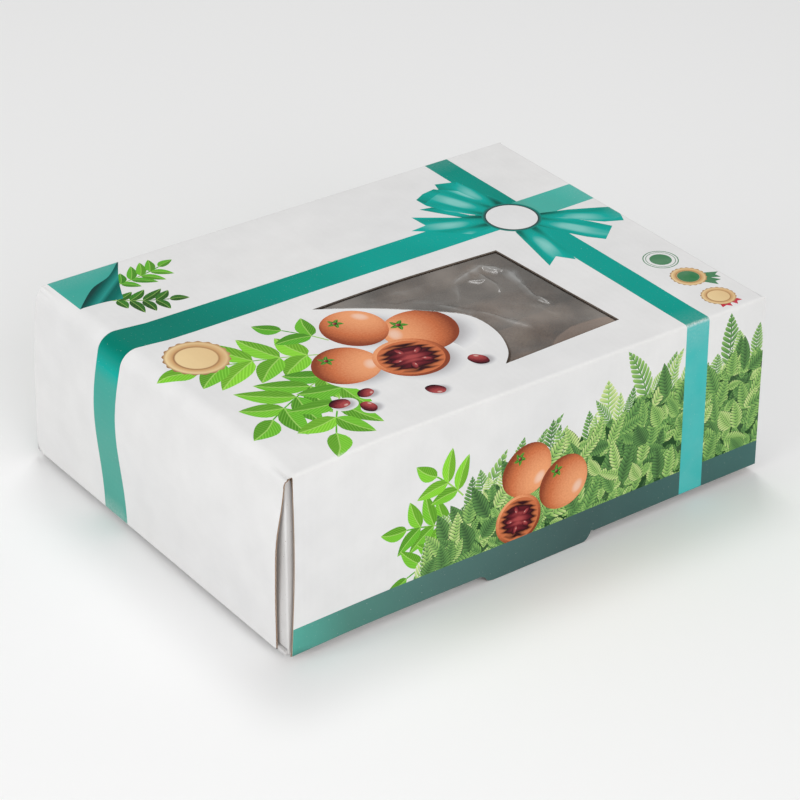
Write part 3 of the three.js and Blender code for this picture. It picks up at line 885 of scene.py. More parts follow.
def strip(corners, tone, ink="ribbon"):
    (x0, y0), (x1, y1) = corners[0], corners[1]
    angle = math.atan2(y1 - y0, x1 - x0)
    wide = math.dist(corners[1], corners[2])
    middle = ((x0 + corners[3][0]) / 2, (y0 + corners[3][1]) / 2)
    return motif(corners, ink, middle, angle, (math.dist(corners[0], corners[1]), wide), tone)


ribbons = {
    "alongY": (107.9, 124.4), "acrossX": (197.1, 209.2), "wallShift": 3.2, "frontShift": 1.2, "bandTop": 12.3,
    # Painted light: these tone stops paint the lamps' reflection on the glossy print. Along the lid ribbon:
    # pale on the hinge wall, dark green over the fold and at the hinge end of the lid, lightening toward the
    # far end. Across: lighter and darker stretches along the cross ribbon
    "alongLightTones": [(-60, 0.8), (-12, 0.74), (-4, 0.34), (2, 0.06), (40, 0.1), (90, 0.3), (130, 0.45),
                   (190, 0.6), (206, 0.72), (214, 0.9), (240, 0.93)],
    "acrossLightTones": [(0, 0.36), (60, 0.42), (108, 0.5), (120, 0.2), (150, 0.3), (175, 0.22), (250, 0.3)],
}


def ribbonMotifs():
    lowY, highY = ribbons["alongY"]
    lowX, highX = ribbons["acrossX"]
    shift = ribbons["wallShift"]
    far = length - flapEnd
    middle = mix(wallFoot, foldStart, 0.5)
    along, across = (0, ribbons["alongLightTones"]), (1, ribbons["acrossLightTones"])
    edge = curve([(wallFoot, lowY + shift * 0.5), (middle, lowY + shift), (foldStart, lowY + shift * 0.7),
                  (20, lowY)], 6)
    other = [(s, y + highY - lowY) for s, y in edge]
    return [
        strip([(lowX, flapTop), (lowX, depth - flapEnd), (highX, depth - flapEnd), (highX, flapTop)], across),
        strip([(20, lowY), (far, lowY), (far, highY), (20, highY)], along),
        motif(edge + other[::-1], "ribbon", (0, (lowY + highY) / 2 + shift / 2), 0.0,
              (100.0, highY - lowY), along),
    ]


def frontRibbonMotif():
    lowX, highX = ribbons["acrossX"]
    slip = ribbons["frontShift"]
    corners = [(lowX + slip, flapEnd), (lowX, flapTop + 1.2), (highX, flapTop + 1.2), (highX + slip, flapEnd)]
    return strip(corners, 0.5, "ribbonPale")


def bandMotif(toBlank):
    top = ribbons["bandTop"]
    return motif([toBlank(0, -4), toBlank(length, -4), toBlank(length, top), toBlank(0, top)], "band")


# The bow at the crossing: loops and tails as outlines, from the back to the front
bow = {
    "knot": (198.4, 114.1), "discRadius": 11.1, "rimRadius": 12.9,
    "pieces": [
        ("leftShadow", [(169.9, 141.9), (175.6, 140.6), (184.8, 125.6), (191, 121), (186.9, 119.8),
                        (181.0, 125.2)], 0.12),
        ("leftTail", [(162.7, 137.9), (190, 119.5), (185, 111.5), (174.7, 111.6), (162.3, 122.6),
                      (155.2, 128.0), (163.3, 128.8)], 0.5),
        ("tail", [(191.3, 102.9), (183.9, 70.9), (191.3, 75.8), (196.5, 68.9), (200.0, 83.3),
                  (204, 104)], 0.52),
        ("upperLoop", [(189.8, 157.1), (199.1, 153.9), (200.2, 146.4), (202.8, 135.6), (206, 122), (197, 122),
                       (194.3, 137.8), (190.0, 148.8), (188.1, 151.9)], 0.42),
        ("roll", [(189.8, 157.1), (199.1, 153.9), (196.5, 151.1), (188.1, 151.9)], 0.3),
        ("leftLoop", [(174.3, 149.9), (180, 152.8), (186.6, 153.8), (194.2, 146.5), (196.1, 134.7),
                      (198.5, 121.5), (191.5, 118.8), (184.0, 127.9), (178.7, 134.1), (174.6, 143.1)], 0.58),
        ("leftRoll", [(174.3, 149.9), (180, 152.8), (186.6, 153.8), (187.5, 149.8), (181, 147.5),
                      (175.5, 145.2)], 0.34),
        ("rightUpper", [(206, 112), (223.1, 106.1), (240.0, 97.4), (239.3, 91), (236.1, 84.7), (228.4, 88.5),
                        (223.1, 93.5), (217.7, 100.6), (206, 108)], 0.44),
        ("rightLower", [(205.5, 110), (217.9, 100.9), (223.7, 92.2), (228.7, 83.6), (218.6, 75.8),
                        (213.4, 81.9), (207.2, 92.1), (202, 104)], 0.6),
    ],
}


def bowMotifs():
    motifs = []
    kx, ky = bow["knot"]
    for _, outline, tone in bow["pieces"]:
        cx = sum(p[0] for p in outline) / len(outline)
        cy = sum(p[1] for p in outline) / len(outline)
        angle = math.atan2(cy - ky, cx - kx)
        reach = max(math.dist(p, bow["knot"]) for p in outline)
        motifs.append(motif(outline, "bow", bow["knot"], angle, (reach, reach * 0.7), tone))
    motifs.append(disc(kx, ky, bow["rimRadius"], "rim", sides=56))
    motifs.append(disc(kx, ky, bow["discRadius"], "white", sides=56))
    return motifs


# The fruit picture on the lid: broad leaves, round fruits, one cut open, and a few berries
lidPicture = {
    "sprays": [(64, 64, 152, 50, 4, 21, 10.5, 0.85), (60, 52, 196, 44, 4, 20, 10.0, 0.72),
               (60, 44, 222, 40, 3, 19, 9.5, 0.8), (72, 72, 116, 20, 1, 15, 8, 0.6)],
    "fruits": [(107, 58, 16.5), (66, 52, 14.5), (86, 74, 14.5)],
    "cut": (91, 43, 15.5),
    "berries": [(47, 30, 4.4), (55, 22, 4.0), (60, 31, 3.8), (84, 18, 4.2), (112, 27, 4.6)],
}


def fruitMotifs(fruits, cut, berries):
    motifs = [disc(x + 0.22 * r, y - 0.3 * r, r * 1.16, "shade", squash=0.9) for x, y, r in [*fruits, cut]]
    motifs += [disc(x + 0.3 * r, y - 0.35 * r, r * 1.3, "shade", squash=0.8) for x, y, r in berries]
    for x, y, r in fruits:
        px, py = x - 0.3 * r, y + 0.5 * r
        motifs.append(disc(x, y, r, "fruit", squash=0.94, angle=0.4 + x, waves=3, depthOfWave=0.012))
        for k in range(5):
            motifs.append(leaf(px, py, 1.26 * k + 0.3 * x, 0.26 * r, 0.13 * r, 0.3, points=4))
        motifs.append(disc(px, py, 0.07 * r, "berry", sides=12))
    x, y, r = cut
    motifs.append(disc(x, y, r, "fruit", squash=0.94, angle=-0.2))
    motifs.append(disc(x, y, r * 0.88, "flesh", squash=0.94, angle=-0.2))
    for k in range(5):
        a = 1.257 * k + 0.5
        px, py = x + 0.42 * r * math.cos(a), y + 0.42 * r * math.sin(a)
        motifs.append(disc(px, py, 0.17 * r, "berry", squash=0.55, angle=a, sides=20))
    return motifs + [disc(bx, by, br, "berry", squash=0.76, angle=bx, sides=28, waves=5, depthOfWave=0.02)
                     for bx, by, br in berries]


def lidPictureMotifs():
    rng = random.Random(11)
    motifs = []
    for x, y, degrees, reach, pairs, leafReach, leafWidth, tone in lidPicture["sprays"]:
        motifs += spray(x, y, math.radians(degrees), reach, pairs, leafReach, leafWidth, tone, rng)
    return motifs + fruitMotifs(lidPicture["fruits"], lidPicture["cut"], lidPicture["berries"])


# The leafy bank on the long flaps, low at the hinge end and high at the far end
bank = {
    "fronds": 150, "start": 60.0, "reach": (10, 19), "width": (5.0, 8.5),
    "rise": [(60, 12), (76, 28), (92, 44), (112, 52), (140, 54), (165, 60), (185, 70), (205, 60), (225, 70),
             (240, 66)],
}


def bankTop(x):
    points = bank["rise"]
    for (x0, z0), (x1, z1) in zip(points, points[1:]):
        if x <= x1:
            return mix(z0, z1, max(x - x0, 0) / (x1 - x0))
    return points[-1][1]


def bankMotifs(seed, toBlank, mirrored):
    rng = random.Random(seed)
    side = -1 if mirrored else 1
    motifs = []
    edge = []
    for k in range(84):
        x = mix(bank["start"] - 6, length, k / 83)
        edge.append((x, max(bankTop(x) * 0.84 + rng.uniform(-3.2, 3.2), 2)))
    for k in range(bank["fronds"] // 2):
        x = mix(bank["start"], length - 2, (k + rng.random()) / (bank["fronds"] // 2))
        tilt = math.radians(rng.gauss(92 - 22 * (1 - (x - bank["start"]) / 180), 24))
        z = bankTop(x) * 0.8 + rng.uniform(-5, 1)
        px, py = toBlank(x, z)
        grown = 1.5 if k % 9 == 4 else 1.0
        reach = rng.uniform(*bank["reach"]) * grown
        width = rng.uniform(*bank["width"]) * grown
        tone = rng.uniform(0.35, 0.95)
        bend = rng.uniform(-0.15, 0.15)
        motifs.append(leaf(px, py, side * tilt, reach, width, tone, bend=bend, ink="frond"))
    outline = [toBlank(x, z) for x, z in [(bank["start"] - 6, -4)] + edge + [(length, -4)]]
    motifs.append(motif(outline, "foliage", toBlank(60, 0), 0.0, (100.0, 100.0), 0.5))
    for k in range(bank["fronds"]):
        x = rng.uniform(bank["start"] + 2, length - 2)
        z = mix(8, bankTop(x) * 0.74, rng.random() ** 0.8)
        tilt = math.radians(rng.gauss(80, 42))
        px, py = toBlank(x, z)
        motifs.append(leaf(px, py, side * tilt, rng.uniform(*bank["reach"]), rng.uniform(*bank["width"]),
                           rng.uniform(0.2, 0.95), bend=rng.uniform(-0.15, 0.15), ink="deepFrond"))
    return motifs


def toFront(x, z):
    return x, flapPlace(z)


def toBack(x, z):
    return x, depth - flapPlace(z)


frontPicture = {"fruits": [(116, 42, 12.5), (135, 30, 12.5)], "cut": (112, 21, 11.5),
                "sprays": [(80, 30, 158, 24, 3, 15, 6.5, 0.78), (84, 42, 128, 18, 2, 15, 6.5, 0.85),
                           (86, 22, 188, 30, 3, 14, 6.0, 0.7)]}


def flapMotifs(toBlank, seed, mirrored):
    rng = random.Random(seed)
    side = -1 if mirrored else 1
    motifs = []
    for x, z, degrees, reach, pairs, leafReach, leafWidth, tone in frontPicture["sprays"]:
        px, py = toBlank(x, z)
        motifs += spray(px, py, side * math.radians(degrees), reach, pairs, leafReach, leafWidth, tone, rng)
    motifs += bankMotifs(seed, toBlank, mirrored)
    cx, cz, cr = frontPicture["cut"]
    fruits = [(*toBlank(x, z), r) for x, z, r in frontPicture["fruits"]]
    shown = [m for m in fruitMotifs(fruits, (*toBlank(cx, cz), cr), []) if m["ink"] != "shade"]
    return motifs + shown + [bandMotif(toBlank)]


# Plain rosettes, some with two tails
rosettes = [(21.4, 89.8, 13.3, "gold", None), (225.6, 48.9, 7.6, "green", None),
            (225.4, 31.3, 7.6, "gold", "leaf"), (224.6, 11.9, 7.3, "gold", "red")]
rosetteTails = {
    "leaf": {"turns": (-0.95, -0.45), "reach": 1.75, "ink": "green"},
    "red": {"turns": (-1.9, -1.15), "reach": 1.32, "ink": "red"},
}


def tailMotifs(x, y, r, tails):
    motifs = []
    given = rosetteTails[tails]
    for turn in given["turns"]:
        reach, wide = r * given["reach"], r * 0.3
        c, s = math.cos(turn), math.sin(turn)
        corners = [(0, -wide), (reach, -wide), (reach * 0.86, 0), (reach, wide), (0, wide)]
        outline = [(x + c * u - s * v, y + s * u + c * v) for u, v in corners]
        motifs.append(motif(outline, given["ink"], (x, y), turn, (reach, wide), 0.4))
    return motifs


def rosetteMotifs():
    motifs = []
    for x, y, r, ink, tails in rosettes:
        motifs += tailMotifs(x, y, r, tails) if tails else []
        if ink == "green":
            for n, share in enumerate((1.0, 0.94, 0.84, 0.8)):
                motifs.append(disc(x, y, r * share, "white" if n % 2 else "green", sides=64))
            motifs.append(disc(x, y, r * 0.62, "green", sides=48))
            continue
        motifs.append(disc(x, y, r, ink, waves=20, depthOfWave=0.03, sides=120))
        if tails == "leaf":
            motifs.append(disc(x, y, r * 0.62, "green"))
    return motifs


cornerFlash = {"along": 39.5, "down": 26.5, "tip": (23.4, 146.2), "start": 4.6}


def cornerMotifs():
    # A plain flash in the lid's back corner, drawn as if its long edge curls up
    start, down, tip = cornerFlash["start"], cornerFlash["down"], cornerFlash["tip"]
    far, low = (cornerFlash["along"], depth + 0.6), (start, depth - down)
    rng = random.Random(3)
    hollow = curve([low, (start + 12.5, depth - down + 11.5), (start + 24, depth - 9.5), far], 6)
    free = curve([far, (30.5, depth - 14), tip], 6) + curve([tip, (14.5, depth - down - 0.6), low], 6)[1:]
    motifs = spray(26, 157, math.radians(2), 24, 4, 10, 4.4, 0.6, rng)
    motifs += spray(18, 148, math.radians(-38), 24, 4, 10, 4.6, 0.05, rng)
    slope = math.atan2(far[1] - low[1], far[0] - low[0])
    motifs.append(motif([(start, depth + 0.6)] + hollow, "ribbon", (start, depth), 0.0, (40, 60), 0.72))
    motifs.append(motif(hollow[::-1] + free[::-1][1:-1], "peel", low, slope - math.pi, (44.0, 17.0), 0.5))
    return motifs


def guideLines():
    lines = []
    for k in range(17):
        s = mix(foldStart, foldRadius, k / 16)
        lines.append([(s, -1), (s, depth + 1)])
    lines.append([(carton["flapStart"], 0.15), (carton["flapStart"], depth - flapEnd + 1)])
    for k in range(5):
        turn = crease * (math.pi / 2) * k / 4
        lines.append([(2.8, crease - turn), (length, crease - turn)])
        lines.append([(2.8, depth - crease + turn), (length, depth - crease + turn)])
        lines.append([(length - crease + turn, 0), (length - crease + turn, depth)])
        foot = wallFoot + footFold * math.pi / 2 * k / 4
        lines.append([(foot, 0), (foot, depth)])
    for k in range(1, 13):
        s = mix(wallFoot + 3, foldStart, k / 13)
        lines.append([(s, 0), (s, depth)])
    for k in range(1, 14):
        y = depth * k / 14
        lines.append([(wallFoot, y), (length - flapEnd, y)])
    for k in range(1, 18):
        s = mix(foldRadius, length, k / 18)
        lines.append([(s, flapEnd - 4), (s, depth - flapEnd)])
    for k in range(1, 6):
        drop = mix(flapTop, flapEnd, k / 6)
        lines.append([(2, drop), (length, drop)])
        lines.append([(2, depth - drop), (length, depth - drop)])
        lines.append([(length - drop, 0), (length - drop, depth)])
    return lines


def nearLine(point, loop):
    return any(offSide(*point, a, b) < 0.01 for a, b in around(loop))


def turnedLeft(outline):
    area = sum(a[0] * b[1] - b[0] * a[1] for a, b in around(outline))
    return outline if area > 0 else outline[::-1]


def cutBlank(outline, hole, lines, motifs):
    # Cuts the blank along every printed edge and tells which motif lies on top of each face
    points, edges, loops = [], [], []
    for loop in [outline, hole] + [m["outline"] for m in motifs]:
        first = len(points)
        points += [Vector(p) for p in turnedLeft(loop)]
        loops.append(list(range(first, len(points))))
    for line in lines:
        points += [Vector(p) for p in line]
        edges.append((len(points) - 2, len(points) - 1))
    made = delaunay_2d_cdt(points, edges, loops, 1, 1e-4, True)
    faces = []
    for corners, owners in zip(made[2], made[5]):
        if 0 in owners and 1 not in owners:
            faces.append((corners, max(owners) - 2))
    return [tuple(p) for p in made[0]], faces


def openSides(faces):
    # The sides that only one face has
    sides = set()
    for corners, _ in faces:
        for a, b in around(corners):
            if (b, a) in sides:
                sides.remove((b, a))
            else:
                sides.add((a, b))
    return sides


def foldUp(flat, faces):
    # The blank's folded points, outside and inside: thinner where the knife crushed the edge
    rim = {a for a, _ in openSides(faces)}
    used = {c for corners, _ in faces for c in corners}
    normals = {c: blankNormal(*flat[c]) for c in used}
    outer = {c: Vector(blankPoint(*flat[c])) for c in used}
    inner = {c: outer[c] - normals[c] * (cutEdges["crushed"] if c in rim else board) for c in used}
    return {"flat": flat, "normals": normals, "outer": outer, "inner": inner}


def boardMesh(name, verts, polygons):
    mesh = bpy.data.meshes.new(name)
    mesh.from_pydata(verts, [], polygons)
    mesh.uv_layers.new(name="sheet")
    mesh.uv_layers.new(name="motif")
    mesh.attributes.new("wearAndSheen", "FLOAT", "POINT")
    return mesh


def boardPiece(name, sheet, faces, motifs, finishes, windowRim):
    used = sorted({c for corners, _ in faces for c in corners})
    index = {old: new for new, old in enumerate(used)}
    flat = [sheet["flat"][c] for c in used]
    normals = [sheet["normals"][c] for c in used]
    verts = [place(*sheet["outer"][c]) for c in used] + [place(*sheet["inner"][c]) for c in used]
    faces = [([index[c] for c in corners], top) for corners, top in faces]
    count, inkOrder, pitch = len(used), list(finishes), boardFace["flutePitch"]
    polygons = [tuple(c) for c, _ in faces]
    polygons += [tuple(v + count for v in reversed(c)) for c, _ in faces]
    polygons += [(a, a + count, b + count, b) for a, b in sorted(openSides(faces))]
    tones, materials, sheetFlat, ownFlat, loopNormals = [], [], [], [], []
    for n, corners in enumerate(polygons):
        m, key = None, "white"
        if n < len(faces):
            m = motifs[faces[n][1]] if faces[n][1] >= 0 else None
            key = m["ink"] if m else "white"
            loopNormals += [normals[c] for c in corners]
        elif n < 2 * len(faces):
            key = "inside"
            loopNormals += [-normals[c - count] for c in corners]
        else:
            key = "darkEdge" if flat[corners[0]] in windowRim else "edge"
            if max(flat[corners[0]][0], flat[corners[3]][0]) < wallFoot + 0.01:
                key = "white"
            a, down, b = verts[corners[0]], verts[corners[1]], verts[corners[2]]
            loopNormals += [(down - a).cross(b - down).normalized()] * 4
        materials.append(inkOrder.index(key))
        for c in corners:
            x, y = flat[c % count]
            sheetFlat += (x / 100, y / 100)
            tones.append(toneAt(m, x, y) if m else 0.5)
            ownFlat += motifPlace(m, x, y) if m else (x / pitch, float(c >= count))
    mesh = boardMesh(name, verts, polygons)
    mesh.attributes.new("tone", "FLOAT", "CORNER")
    mesh.attributes["wearAndSheen"].data.foreach_set("value", [wearAndSheenAt(*p) for p in flat] * 2)
    mesh.attributes["tone"].data.foreach_set("value", tones)
    mesh.uv_layers["sheet"].data.foreach_set("uv", sheetFlat)
    mesh.uv_layers["motif"].data.foreach_set("uv", ownFlat)
    mesh.polygons.foreach_set("material_index", materials)
    mesh.polygons.foreach_set("use_smooth", [True] * len(polygons))
    mesh.normals_split_custom_set(loopNormals)
    for key in inkOrder:
        mesh.materials.append(finishes[key])
    piece = newPiece(name, mesh)
    print(name, len(polygons), "faces")
    return piece


def makeBlank(finishes):
    motifs = flapMotifs(toFront, 21, False) + flapMotifs(toBack, 34, True)
    motifs.append(bandMotif(lambda along, z: (length - flapPlace(z), mix(0, depth, along / length))))
    motifs += ribbonMotifs() + [frontRibbonMotif()] + cornerMotifs()
    motifs += lidPictureMotifs() + rosetteMotifs() + bowMotifs()
    hole = windowOutline()
    flat, faces = cutBlank(blankOutline(), hole, guideLines(), motifs)
    sheet = foldUp(flat, faces)
    windowRim = {p for p in flat if nearLine(p, hole)}
    # The wall and its fold make one piece, left in place; the rest of the blank is one piece attached to the
    # lid
    split = carton["flapStart"]

    def turning(corners):
        return max(flat[c][0] for c in corners) > split + 0.001 or max(flat[c][1] for c in corners) < 0.25

    onWall = [f for f in faces if not turning(f[0])]
    onLid = [f for f in faces if turning(f[0])]
    lid = boardPiece("lidBoard", sheet, onLid, motifs, finishes, windowRim)
    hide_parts("lid_top", "lid_front_flap", "lid_back_flap", "lid_end_flap")
    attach(lid, "lid")
    wall = boardPiece("hingeBoard", sheet, onWall, motifs, finishes, windowRim)
    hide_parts("hinge_wall")
    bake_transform(wall)


# The tray: one strip of board round the carton, from one dust flap to the other, over a sagging base
def trayFront(x, z):
    along = x / length
    inset = mix(carton["trayInsetLeft"], carton["trayInsetRight"], along)
    return inset - mix(carton["trayLeanLeft"], carton["trayLeanRight"], along) * outward(z)


def trayBack(z):
    return depth - carton["trayBackInset"] + carton["trayBackLean"] * outward(z)


def trayEnd(z):
    return length - carton["trayEndInset"] + carton["endFlare"] * outward(z)


trayStrip = {"start": 1.8, "dustReach": 62.0, "corner": 0.8, "dustTop": 74.0, "dustFoot": 1.9,
             "underFold": 0.4, "flat": 14, "turn": 6, "rows": 14}


def trayCourse(z):
    # The outer face of the strip at one height: points and outward normals in plan
    x0, radius = trayStrip["start"], trayStrip["corner"]
    front, back, end = trayFront(x0, z), trayBack(z), trayEnd(z)
    reach = trayStrip["dustReach"]
    corners = [(x0, front + reach), (x0, front), (end, trayFront(end, z)),
               (end, back), (x0, back), (x0, back - reach)]
    course = []
    for n in range(1, 6):
        a, b = Vector(corners[n - 1]), Vector(corners[n])
        way = (b - a).normalized()
        normal = Vector((way.y, -way.x))
        first = a + way * (radius if n > 1 else 0)
        last = b - way * (radius if n < 5 else 0)
        for k in range(trayStrip["flat"] + 1):
            course.append((first.lerp(last, k / trayStrip["flat"]), normal))
        if n < 5:
            after = (Vector(corners[n + 1]) - b).normalized()
            turned = Vector((after.y, -after.x))
            centre = last - normal * radius
            for k in range(1, trayStrip["turn"]):
                out = normal.lerp(turned, k / trayStrip["turn"]).normalized()
                course.append((centre + out * radius, out))
    return course


def trayReach(x, column, last):
    # Lowest and highest point of one column of the strip
    edge = trayStrip["flat"] + 3
    onDust = max(smooth((edge - column) / 3), smooth((column - last + edge) / 3))
    inFold = math.sqrt(max((foldRadius - board) ** 2 - max(foldRadius - x, 0) ** 2, 0))
    top = min(carton["trayTop"], height - foldRadius + inFold - trayStrip["underFold"])
    return trayStrip["dustFoot"] * onDust, min(top, trayStrip["dustTop"] if onDust > 0.99 else top)


def makeTrayBoard(finishes):
    rows = trayStrip["rows"]
    middle = trayCourse(carton["trayTop"] / 2)
    columns = len(middle)
    outer, inner, flat = [], [], []
    run = 0.0
    runs = []
    for n, (p, _) in enumerate(middle):
        run += (p - middle[n - 1][0]).length if n else 0
        runs.append(run)
    for row in range(rows + 1):
        for column in range(columns):
            low, high = trayReach(middle[column][0].x, column, columns - 1)
            if row < 4:
                turn = math.pi / 2 * (1 - row / 4)
                z, tuck = low + footFold * (1 - math.sin(turn)), footFold * (1 - math.cos(turn))
            else:
                z, tuck = mix(low + footFold, high, (row - 4) / (rows - 4)), 0.0
            p, n = trayCourse(z)[column]
            spot = p - n * tuck
            outer.append(Vector((spot.x, spot.y, z)))
            lift = Vector((-n.x, -n.y, 0)) * board
            if row < 4:
                lift = Vector((-n.x * math.cos(turn), -n.y * math.cos(turn), math.sin(turn))) * board
            inner.append(outer[-1] + lift)
            flat.append((z, runs[column]))
    count = len(outer)
    at = lambda row, column: row * columns + column
    polygons, kinds = [], []
    for a, b, c, d in gridFaces(columns - 1, rows):
        polygons += [(a, b, c, d), (a + count, d + count, c + count, b + count)]
        kinds += ["liner", "inside"]
    for column in range(columns - 1):
        a, b = at(0, column), at(0, column + 1)
        c, d = at(rows, column), at(rows, column + 1)
        polygons += [(b, a, a + count, b + count), (c, d, d + count, c + count)]
        kinds += ["liner", "edge"]
    for row in range(rows):
        a, b = at(row, 0), at(row + 1, 0)
        c, d = at(row, columns - 1), at(row + 1, columns - 1)
        polygons += [(a, b, b + count, a + count), (d, c, c + count, d + count)]
        kinds += ["edge", "edge"]
    piece = plainBoard("trayBoard", outer + inner, polygons, kinds, flat * 2, finishes)
    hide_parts("tray_front_wall", "tray_back_wall", "tray_end_wall",
                "dust_flap_front", "dust_flap_back")
    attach(piece, "tray")


def plainBoard(name, verts, polygons, kinds, flat, finishes):
    mesh = boardMesh(name, [place(*v) for v in verts], polygons)
    order = ["liner", "inside", "edge"]
    mesh.polygons.foreach_set("material_index", [order.index(k) for k in kinds])
    half = len(verts) // 2
    sheetFlat, ownFlat = [], []
    for corners in polygons:
        for c in corners:
            z, run = flat[c]
            sheetFlat += (run / 100, z / 100)
            ownFlat += (run / boardFace["flutePitch"], float(c >= half))
    mesh.uv_layers["sheet"].data.foreach_set("uv", sheetFlat)
    mesh.uv_layers["motif"].data.foreach_set("uv", ownFlat)
    for key in order:
        mesh.materials.append(finishes[key])
    mesh.polygons.foreach_set("use_smooth", [k != "edge" for k in kinds])
    mesh.validate()
    piece = newPiece(name, mesh)
    mesh.set_sharp_from_angle(angle=math.radians(50))
    return piece


baseGrid = {"columns": 48, "rows": 36, "tight": 0.06}


def makeBaseBoard(finishes):
    columns, rows, tight = baseGrid["columns"], baseGrid["rows"], baseGrid["tight"]
    inFrom = lambda t: smooth(min(t, 1 - t) / 0.3)
    outer, inner, flat = [], [], []
    for j in range(rows + 1):
        for i in range(columns + 1):
            u, v = i / columns, j / rows
            x = mix(footFold + tight, trayEnd(0) - footFold - tight, u)
            y = mix(trayFront(x, 0) + footFold + tight, trayBack(0) - footFold - tight, v)
            z = -carton["sag"] * inFrom(u) * inFrom(v)
            outer.append(Vector((x, y, z)))
            inner.append(Vector((x, y, z + board)))
            flat.append((y, x))
    count = len(outer)
    at = lambda j, i: j * (columns + 1) + i
    polygons, kinds = [], []
    for n, (a, b, c, d) in enumerate(gridFaces(columns, rows)):
        polygons += [(a, d, c, b), (a + count, b + count, c + count, d + count)]
        kinds += ["liner", "inside" if n % columns else "liner"]
    rim = [at(0, i) for i in range(columns)] + [at(j, columns) for j in range(rows)]
    rim += [at(rows, i) for i in range(columns, 0, -1)] + [at(j, 0) for j in range(rows, 0, -1)]
    for a, b in around(rim):
        polygons.append((a, b, b + count, a + count))
        kinds.append("liner")
    piece = plainBoard("baseBoard", outer + inner, polygons, kinds, flat * 2, finishes)
    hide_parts("base_panel")
    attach(piece, "tray")


# The crinkled film glued under the window
film = {
    "x": (72.0, 187.5), "y": (10.5, 105.5), "under": 0.1, "lift": 1.15, "columns": 230, "rows": 190,
    "slack": 1.1, "pale": (0.0445, 0.02, 0.0085, -0.0685),
    # Each fold's two ends, its height and its width
    "creases": [
        ((143, 83), (154, 88.5), 1.5, 1.3), ((153, 88), (163, 88.5), 1.7, 1.4),
        ((162, 89), (167.5, 78), 1.8, 1.4), ((167.5, 80), (166, 67), 1.8, 1.3),
        ((166, 69), (163, 56), 1.6, 1.2), ((163, 58), (165, 49), 1.3, 1.1),
        ((157, 85), (155, 69), 1.3, 1.1), ((150, 82), (157, 77), 1.0, 0.9),
        ((144, 83), (136, 72), 1.0, 1.5), ((133, 62), (147, 38), 1.2, 1.9),
        ((127, 72), (134, 57), 1.3, 1.7), ((137, 88), (112, 90), 0.8, 1.9),
        ((150, 60), (171, 40), 0.6, 2.2), ((156, 34), (174, 28), 0.6, 2.0),
        ((118, 80), (132, 72), 0.8, 1.8), ((176, 92), (174, 66), 0.7, 1.8),
    ],
}


def insideWindow(x, y, loop):
    # How far inside the window's edge a point lies, or 0 outside it
    inside, nearest = False, 99.0
    for a, b in around(loop):
        if (a[1] > y) != (b[1] > y) and x < (b[0] - a[0]) * (y - a[1]) / (b[1] - a[1]) + a[0]:
            inside = not inside
        nearest = min(nearest, offSide(x, y, a, b))
    return nearest if inside else 0.0


def filmFold(x, y, inward):
    # How far the film hangs at a point, and how strong a highlight is painted along its ridges there
    slack = film["slack"] * (0.6 + 0.5 * noise.noise(Vector((x * 0.03, y * 0.03, 0.7))))
    ridged = max(1 - abs(noise.noise(Vector((x * 0.06, y * 0.05, 5.2)))) * 3.2, 0)
    fine = max(1 - abs(noise.noise(Vector((x * 0.17, y * 0.14, 2.2)))) * 3, 0)
    sway = [noise.noise(Vector((x, y, start)) * 0.09) for start in (0, 50)]
    p = Vector((x, y)) + Vector(sway) * 2.2
    rise = line = 0.0
    for *ends, tall, wide in film["creases"]:
        a, b = (Vector(end) for end in ends)
        t = min(max((p - a).dot(b - a) / (b - a).length_squared, 0), 1)
        away = (p - a.lerp(b, t)).length / wide
        crest = 0.75 * max(1 - away / 3.6, 0) ** 1.6 + 0.25 * max(1 - away / 1.5, 0) ** 1.4
        swell = tall * math.sin(math.pi * mix(0.22, 0.78, t))
        facet = 0.6 * max(1 - away / 2.6, 0) ** 1.4 + 0.3 * max(1 - away / 0.6, 0)
        rise, line = max(rise, swell * crest), max(line, swell ** 2 * facet / 2.2)
    hang = max(slack + 0.8 - rise - 0.45 * ridged ** 2 - 0.05 * fine ** 2, 0)
    return smooth((inward - 1.0) / 10) * hang - film["lift"] * smooth(inward / 1.3), line * (0.8 + fine)


def makeFilm():
    columns, rows = film["columns"], film["rows"]
    under = board + film["under"]
    loop = windowOutline()
    verts, ridgeHighlight = [], []
    for j in range(rows + 1):
        for i in range(columns + 1):
            x, y = mix(*film["x"], i / columns), mix(*film["y"], j / rows)
            drop, line = filmFold(x, y, insideWindow(x, y, loop))
            verts.append(place(x, y, blankPoint(x, y)[2] - under - drop))
            ridgeHighlight.append(line)
    faces = gridFaces(columns, rows)
    mesh = bpy.data.meshes.new("windowFilm")
    mesh.from_pydata(verts, [], faces)
    mesh.polygons.foreach_set("use_smooth", [True] * len(faces))
    mesh.attributes.new("ridgeHighlight", "FLOAT", "POINT").data.foreach_set("value", ridgeHighlight)
    piece = newPiece("windowFilm", mesh)
    mesh.materials.append(makeFilmMaterial())
    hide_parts("window_film")
    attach(piece, "lid")
    print("film", len(faces), "faces")


